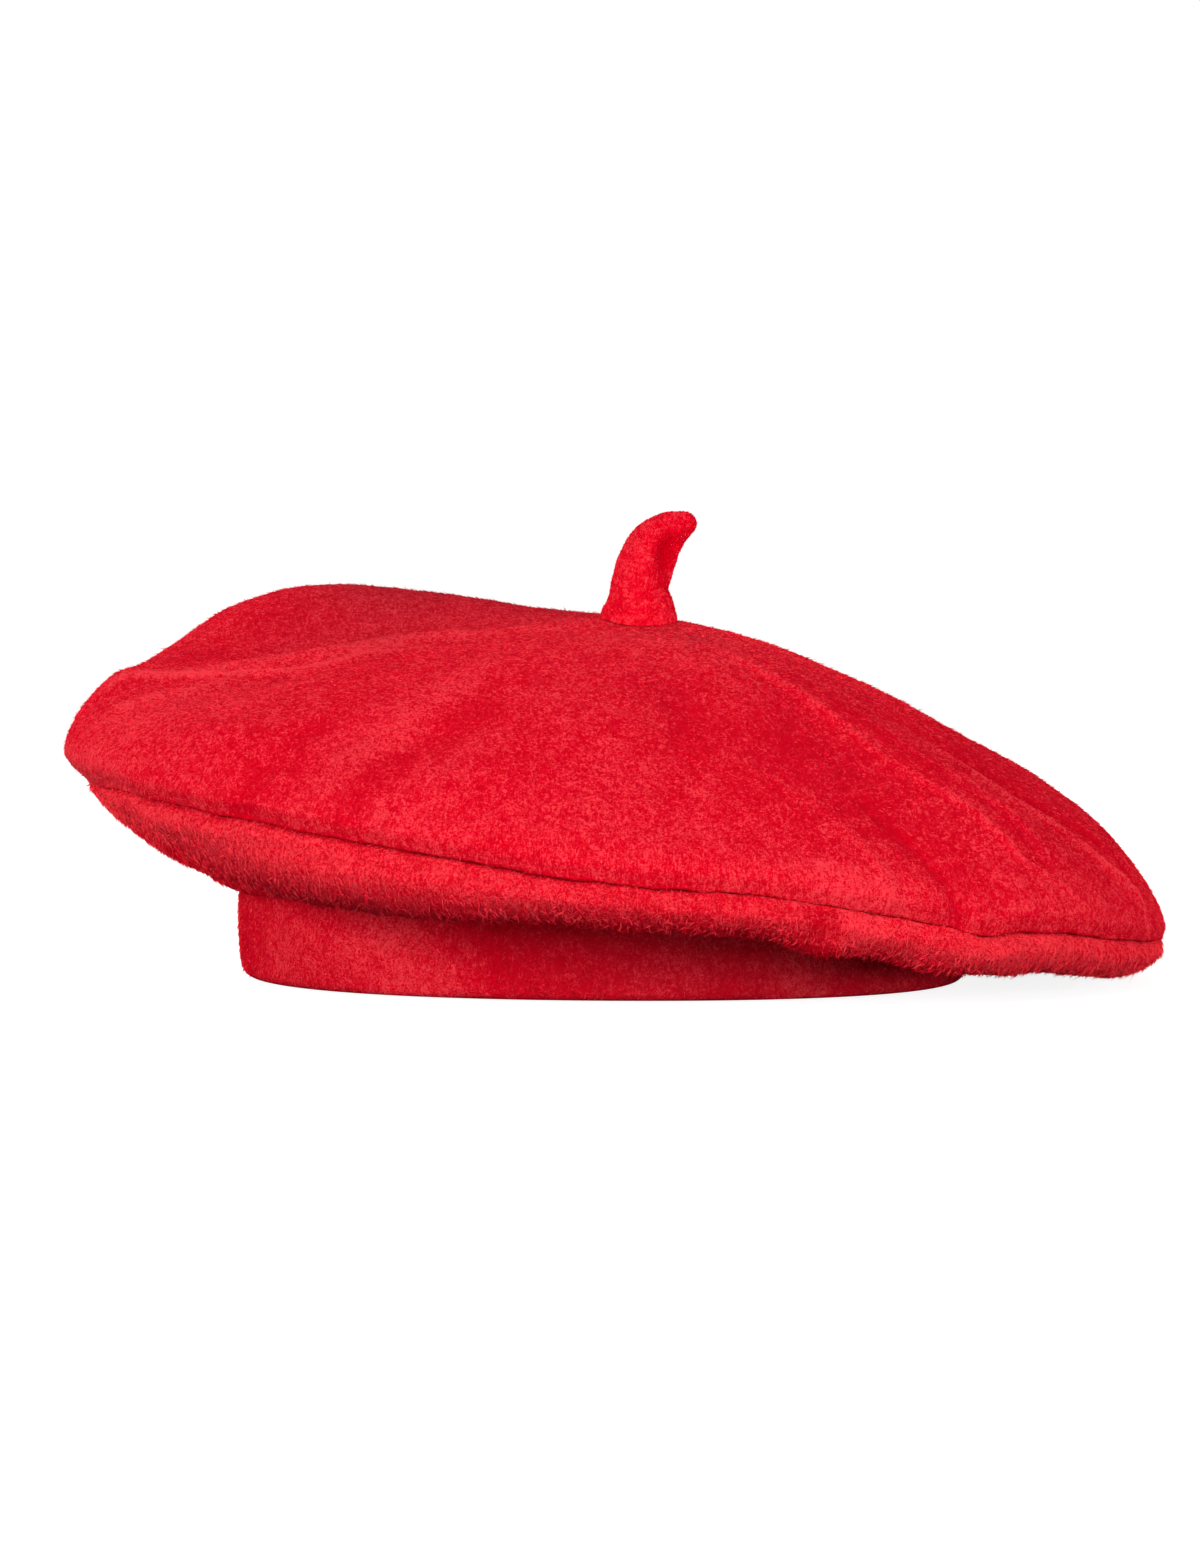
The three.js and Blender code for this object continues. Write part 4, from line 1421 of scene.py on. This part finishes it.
def nap_material(name, wool, look):
    """Single wool fibres, whose colour changes from tuft to tuft and carries the painted light and shade
    of the felt under them.
    """
    material, tree = new_material(name)
    place = tree.nodes.new("ShaderNodeTexCoord").outputs["Object"]
    tufts = [add_noise(tree, place, size * MM, NOISE_DETAIL, bend) for size, bend, _ in look["tufts"]]
    shares = [share for _, _, share in look["tufts"]]
    tone_and_painted_light = add_attribute(tree, "tone_and_painted_light").outputs["Fac"]
    tone = add_sum(tree, [*zip(tufts, shares), (tone_and_painted_light, look["tone_and_painted_light"])])
    colour = add_wool_colour(tree, tone, wool, look)
    add_felt_shader(tree, colour, wool, look)
    return material


def finish_piece(piece, node, slot, look):
    """Gives a piece its felt, and tells the frame which part it shows."""
    piece.data.materials.append(felt_material(slot, bpy.context.scene.beret_wool, look))
    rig.ride(piece, BODY)
    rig.replaces(piece, node)
    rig.slot(piece, slot)


# ---------------------------------------------------------------- stage


def add_camera():
    camera = bpy.data.objects.new("camera", bpy.data.cameras.new("camera"))
    bpy.context.scene.collection.objects.link(camera)
    camera.data.lens = LENS
    camera.data.sensor_width = SENSOR
    camera.data.shift_x, camera.data.shift_y = LENS_SHIFT
    forward = (Vector(LOOK_AT) - Vector(EYE)).normalized()
    right = forward.cross(Vector((0, 0, 1))).normalized()
    up = right.cross(forward)
    roll = math.radians(ROLL)
    right, up = right * math.cos(roll) + up * math.sin(roll), up * math.cos(roll) - right * math.sin(roll)
    turned = Matrix((right, up, -forward)).transposed().to_4x4()
    camera.matrix_world = Matrix.Translation(EYE) @ turned
    camera.data.clip_start, camera.data.clip_end = CLIP
    bpy.context.scene.camera = camera


def add_lamp(name, azimuth, elevation, power, size):
    """A soft square lamp that shines at the beret from an azimuth and an elevation in degrees."""
    light = bpy.data.lights.new(name, "AREA")
    light.shape = "RECTANGLE"
    light.size, light.size_y = size
    light.energy = power
    lamp = bpy.data.objects.new(name, light)
    bpy.context.scene.collection.objects.link(lamp)
    level, rise = math.radians(azimuth), math.radians(elevation)
    away = Vector((math.cos(level) * math.cos(rise), math.sin(level) * math.cos(rise), math.sin(rise)))
    lamp.location = Vector(LIT_SPOT) + away * LAMP_DISTANCE
    lamp.rotation_mode = "QUATERNION"
    lamp.rotation_quaternion = (-away).to_track_quat("-Z", "Y")
    lamp.visible_camera = False


def add_sky(strength):
    """An even pale sky, a little darker overhead."""
    world = bpy.data.worlds.new("studio")
    bpy.context.scene.world = world
    world.use_nodes = True
    tree = world.node_tree
    tree.nodes.clear()
    direction = tree.nodes.new("ShaderNodeTexCoord").outputs["Generated"]
    height = add_node(tree, "ShaderNodeSeparateXYZ", Vector=direction).outputs["Z"]
    colour = add_ramp(tree, height, SKY_STOPS)
    background = add_node(tree, "ShaderNodeBackground", Color=colour, Strength=strength)
    out = tree.nodes.new("ShaderNodeOutputWorld")
    tree.links.new(background.outputs[0], out.inputs["Surface"])


def add_backdrop_mesh(name, rings, drop, material):
    """A round stage object from (radius, height) rings in metres, the first of them a point."""
    turn = np.arange(BACKDROP_AROUND) / BACKDROP_AROUND * 2 * math.pi
    points = [(0, 0, rings[0][1])]
    faces = []
    for j, (radius, height) in enumerate(rings[1:]):
        points += [(radius * math.cos(t), radius * math.sin(t), height) for t in turn]
        for i in range(BACKDROP_AROUND):
            k = (i + 1) % BACKDROP_AROUND
            low = 1 + (j - 1) * BACKDROP_AROUND
            high = low + BACKDROP_AROUND
            faces.append((0, 1 + i, 1 + k) if j == 0 else (low + i, high + i, high + k, low + k))
    mesh = bpy.data.meshes.new(name)
    mesh.from_pydata(points, [], faces)
    made = bpy.data.objects.new(name, mesh)
    bpy.context.scene.collection.objects.link(made)
    made.location = (0, 0, -drop)
    mesh.materials.append(material)
    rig.stage(made)
    return made


def seen_only_by_camera(piece):
    """Lets a stage object show in the picture without lighting or shading anything else."""
    piece.visible_diffuse = False
    piece.visible_glossy = False
    piece.visible_transmission = False
    piece.visible_shadow = False


def seen_floor_material(paint, glow):
    """White floor that the beret darkens a little where it stands, and that fades to plain white away
    from it."""
    material, tree = new_material("floor_paint")
    place = tree.nodes.new("ShaderNodeTexCoord").outputs["Object"]
    length = add_node(tree, "ShaderNodeVectorMath", _0=place)
    length.operation = "LENGTH"
    far = add_node(tree, "ShaderNodeMapRange", Value=length.outputs["Value"])
    far.interpolation_type = "SMOOTHSTEP"
    far.inputs["From Min"].default_value, far.inputs["From Max"].default_value = FLOOR_FADE
    matt = add_node(tree, "ShaderNodeBsdfDiffuse", Color=(paint, paint, paint, 1))
    near_glow = add_node(tree, "ShaderNodeEmission", Color=(1, 1, 1, 1), Strength=glow)
    lit = add_node(tree, "ShaderNodeAddShader", _0=matt.outputs[0], _1=near_glow.outputs[0])
    far_glow = add_node(tree, "ShaderNodeEmission", Color=(1, 1, 1, 1), Strength=1.0)
    mixed = add_node(tree, "ShaderNodeMixShader", _0=far.outputs[0], _1=lit.outputs[0])
    tree.links.new(far_glow.outputs[0], mixed.inputs[2])
    out = tree.nodes.new("ShaderNodeOutputMaterial")
    tree.links.new(mixed.outputs[0], out.inputs["Surface"])
    return material


def plain_material(name, kind, colour):
    """One shader of one colour."""
    material, tree = new_material(name)
    shader = add_node(tree, kind, Color=(*colour, 1))
    out = tree.nodes.new("ShaderNodeOutputMaterial")
    tree.links.new(shader.outputs[0], out.inputs["Surface"])
    return material


# ---------------------------------------------------------------- settings that a user may change


def length_setting(name, description, default, low, high):
    """A length that a user may change, given in millimetres."""
    return bpy.props.FloatProperty(
        name=name, description=description, default=default * MM, min=low * MM, max=high * MM,
        unit="LENGTH", subtype="DISTANCE",
    )


def colour_setting(name, description, default):
    """A colour that a user may change."""
    return bpy.props.FloatVectorProperty(
        name=name, description=description, default=default, min=0, max=1, subtype="COLOR"
    )


def factor_setting(name, description, default, high=1):
    """A share or a strength that a user may change."""
    return bpy.props.FloatProperty(
        name=name, description=description, default=default, min=0, max=high, subtype="FACTOR"
    )


class BeretFelt(bpy.types.PropertyGroup):
    """How thick the felt is."""

    thickness: length_setting("Felt", "Thickness of the crown's and the under panel's felt", 2.2, 1.7, 3)
    sewn: length_setting("Pressed felt", "Thickness of the felt where it is sewn at the rim", 1.5, 1, 2)
    band_layer: length_setting("Band layer", "Thickness of each of the headband's two layers", 1.8, 1.2, 1.85)


class BeretWool(bpy.types.PropertyGroup):
    """The wool's colours."""

    dark: colour_setting("Dark", "Colour in the hollows of the nap", (0.53, 0.0003, 0.0085))
    middle: colour_setting("Middle", "Main colour of the felt", (0.635, 0.0018, 0.0168))
    bright: colour_setting("Bright", "Colour of the fibres that stand up", (0.765, 0.037, 0.051))
    # Averted and averted dark are the colours of painted shade, mixed in by the away mark.
    painted_shade: colour_setting("Averted", "Colour where the nap lies away from the light", (0.49, 0.025, 0.035))
    painted_shade_dark: colour_setting("Averted dark", "Colour in the hollows there", (0.35, 0.0012, 0.009))
    sheen: factor_setting("Sheen", "Strength of the soft shine at grazing angles", 0.05)
    sheen_colour: colour_setting("Sheen colour", "Colour of that shine", (1.0, 0.1, 0.16))


class BeretPile(bpy.types.PropertyGroup):
    """The fibres that stand out of the felt."""

    length: length_setting("Fibre length", "Usual length of the crown's fibres", 1, 0.3, 3)
    width: length_setting("Fibre width", "Usual width of a tuft of fibres at its root", 0.28, 0.1, 0.6)


class BeretStudio(bpy.types.PropertyGroup):
    """The light and the floor."""

    lamps: factor_setting("Lamps", "Strength of the lamps together", 1, high=5)
    sky: factor_setting("Sky", "Strength of the even light from all round", 0.36, high=5)
    floor_glow: factor_setting("Floor glow", "How far the floor is brightened, for a fainter shadow", 0.87)


SETTINGS = {
    "beret_felt": BeretFelt,
    "beret_wool": BeretWool,
    "beret_pile": BeretPile,
    "beret_studio": BeretStudio,
}


# ---------------------------------------------------------------- operators


class BeretCrownOperator(bpy.types.Operator):
    """Adds the round crown panel"""

    bl_idname = "beret.crown"
    bl_label = "Crown"

    def execute(self, context):
        finish_piece(crown_skin(context.scene.beret_felt), "crown", "crown_felt", CROWN_LOOK)
        return {"FINISHED"}


class BeretPanelOperator(bpy.types.Operator):
    """Adds the ring of felt under the rim"""

    bl_idname = "beret.panel"
    bl_label = "Under panel"

    def execute(self, context):
        finish_piece(panel_skin(context.scene.beret_felt), "under_panel", "panel_felt", PANEL_LOOK)
        return {"FINISHED"}


class BeretBandOperator(bpy.types.Operator):
    """Adds the folded headband"""

    bl_idname = "beret.band"
    bl_label = "Headband"

    def execute(self, context):
        finish_piece(band_skin(context.scene.beret_felt), "headband", "band_felt", BAND_LOOK)
        return {"FINISHED"}


class BeretStalkOperator(bpy.types.Operator):
    """Adds the curved stalk on top"""

    bl_idname = "beret.stalk"
    bl_label = "Stalk"

    def execute(self, context):
        finish_piece(stalk_skin(), "stalk", "stalk_felt", STALK_LOOK)
        return {"FINISHED"}


class BeretNapOperator(bpy.types.Operator):
    """Adds the nap on the four pieces, and tells how large the felt was before it was sewn"""

    bl_idname = "beret.nap"
    bl_label = "Nap"

    def execute(self, context):
        scene = context.scene
        for seed, (name, look) in enumerate(NAPS.items()):
            piece = bpy.data.objects[look["on"]]
            nap = nap_on(piece, name, seed, scene.beret_pile, look, look["way"])
            nap.data.materials.append(nap_material(name, scene.beret_wool, look["look"]))
            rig.ride(nap, BODY)
            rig.slot(nap, look["slot"])
            if "flat" in look:
                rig.sheet(piece, look["flat"], look["worked"], with_pieces=[nap], **look["measured"])
        return {"FINISHED"}


class BeretStageOperator(bpy.types.Operator):
    """Adds the floor, the white surround, the lamps and the camera"""

    bl_idname = "beret.stage"
    bl_label = "Stage"

    def execute(self, context):
        studio = context.scene.beret_studio
        for name, azimuth, elevation, power, size in LAMPS:
            add_lamp(name, azimuth, elevation, power * studio.lamps, size)
        add_sky(studio.sky)
        level = [(radius, 0) for radius in FLOOR_RADII]
        paint = seen_floor_material(FLOOR_PAINT, studio.floor_glow)
        seen_only_by_camera(add_backdrop_mesh("floor_seen", level, FLOOR_DROP, paint))
        matt = plain_material("floor_matt", "ShaderNodeBsdfDiffuse", FLOOR_BOUNCE)
        bouncing = add_backdrop_mesh("floor_bounce", level, 2 * FLOOR_DROP, matt)
        bouncing.visible_camera = False
        angles = np.linspace(math.pi / 2, 0, SURROUND_STEPS)
        surround = [(SURROUND_RADIUS * math.cos(a), SURROUND_RADIUS * math.sin(a)) for a in angles]
        white = plain_material("surround_white", "ShaderNodeEmission", (1, 1, 1))
        seen_only_by_camera(add_backdrop_mesh("surround", surround, FLOOR_DROP, white))
        add_camera()
        context.scene.view_settings.view_transform = "Standard"
        context.scene.view_settings.look = "None"
        return {"FINISHED"}


OPERATORS = (
    BeretCrownOperator,
    BeretPanelOperator,
    BeretBandOperator,
    BeretStalkOperator,
    BeretNapOperator,
    BeretStageOperator,
)


class BeretSidebarPanel(bpy.types.Panel):
    """Lists the beret's settings and its operators"""

    bl_idname = "VIEW3D_PT_beret"
    bl_label = "Basque beret"
    bl_space_type = "VIEW_3D"
    bl_region_type = "UI"
    bl_category = "Beret"

    def draw(self, context):
        for setting, group in SETTINGS.items():
            box = self.layout.box()
            box.label(text=group.bl_rna.description)
            for field in group.__annotations__:
                box.prop(getattr(context.scene, setting), field)
        for operator in OPERATORS:
            self.layout.operator(operator.bl_idname)


def register():
    for part in (*SETTINGS.values(), *OPERATORS, BeretSidebarPanel):
        bpy.utils.register_class(part)
    for setting, group in SETTINGS.items():
        setattr(bpy.types.Scene, setting, bpy.props.PointerProperty(type=group))


def unregister():
    for setting in SETTINGS:
        delattr(bpy.types.Scene, setting)
    for part in (BeretSidebarPanel, *OPERATORS[::-1], *SETTINGS.values()):
        bpy.utils.unregister_class(part)


def main():
    register()
    bpy.ops.beret.crown()
    bpy.ops.beret.panel()
    bpy.ops.beret.band()
    bpy.ops.beret.stalk()
    bpy.ops.beret.nap()
    bpy.ops.beret.stage()
    sizes = {"cad": [list(corner) for corner in cad_box], "visual": [list(corner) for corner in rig.bounds()]}
    with open(SIZE_FILE, "w") as out:
        json.dump(sizes, out)


if __name__ == "__main__":
    main()
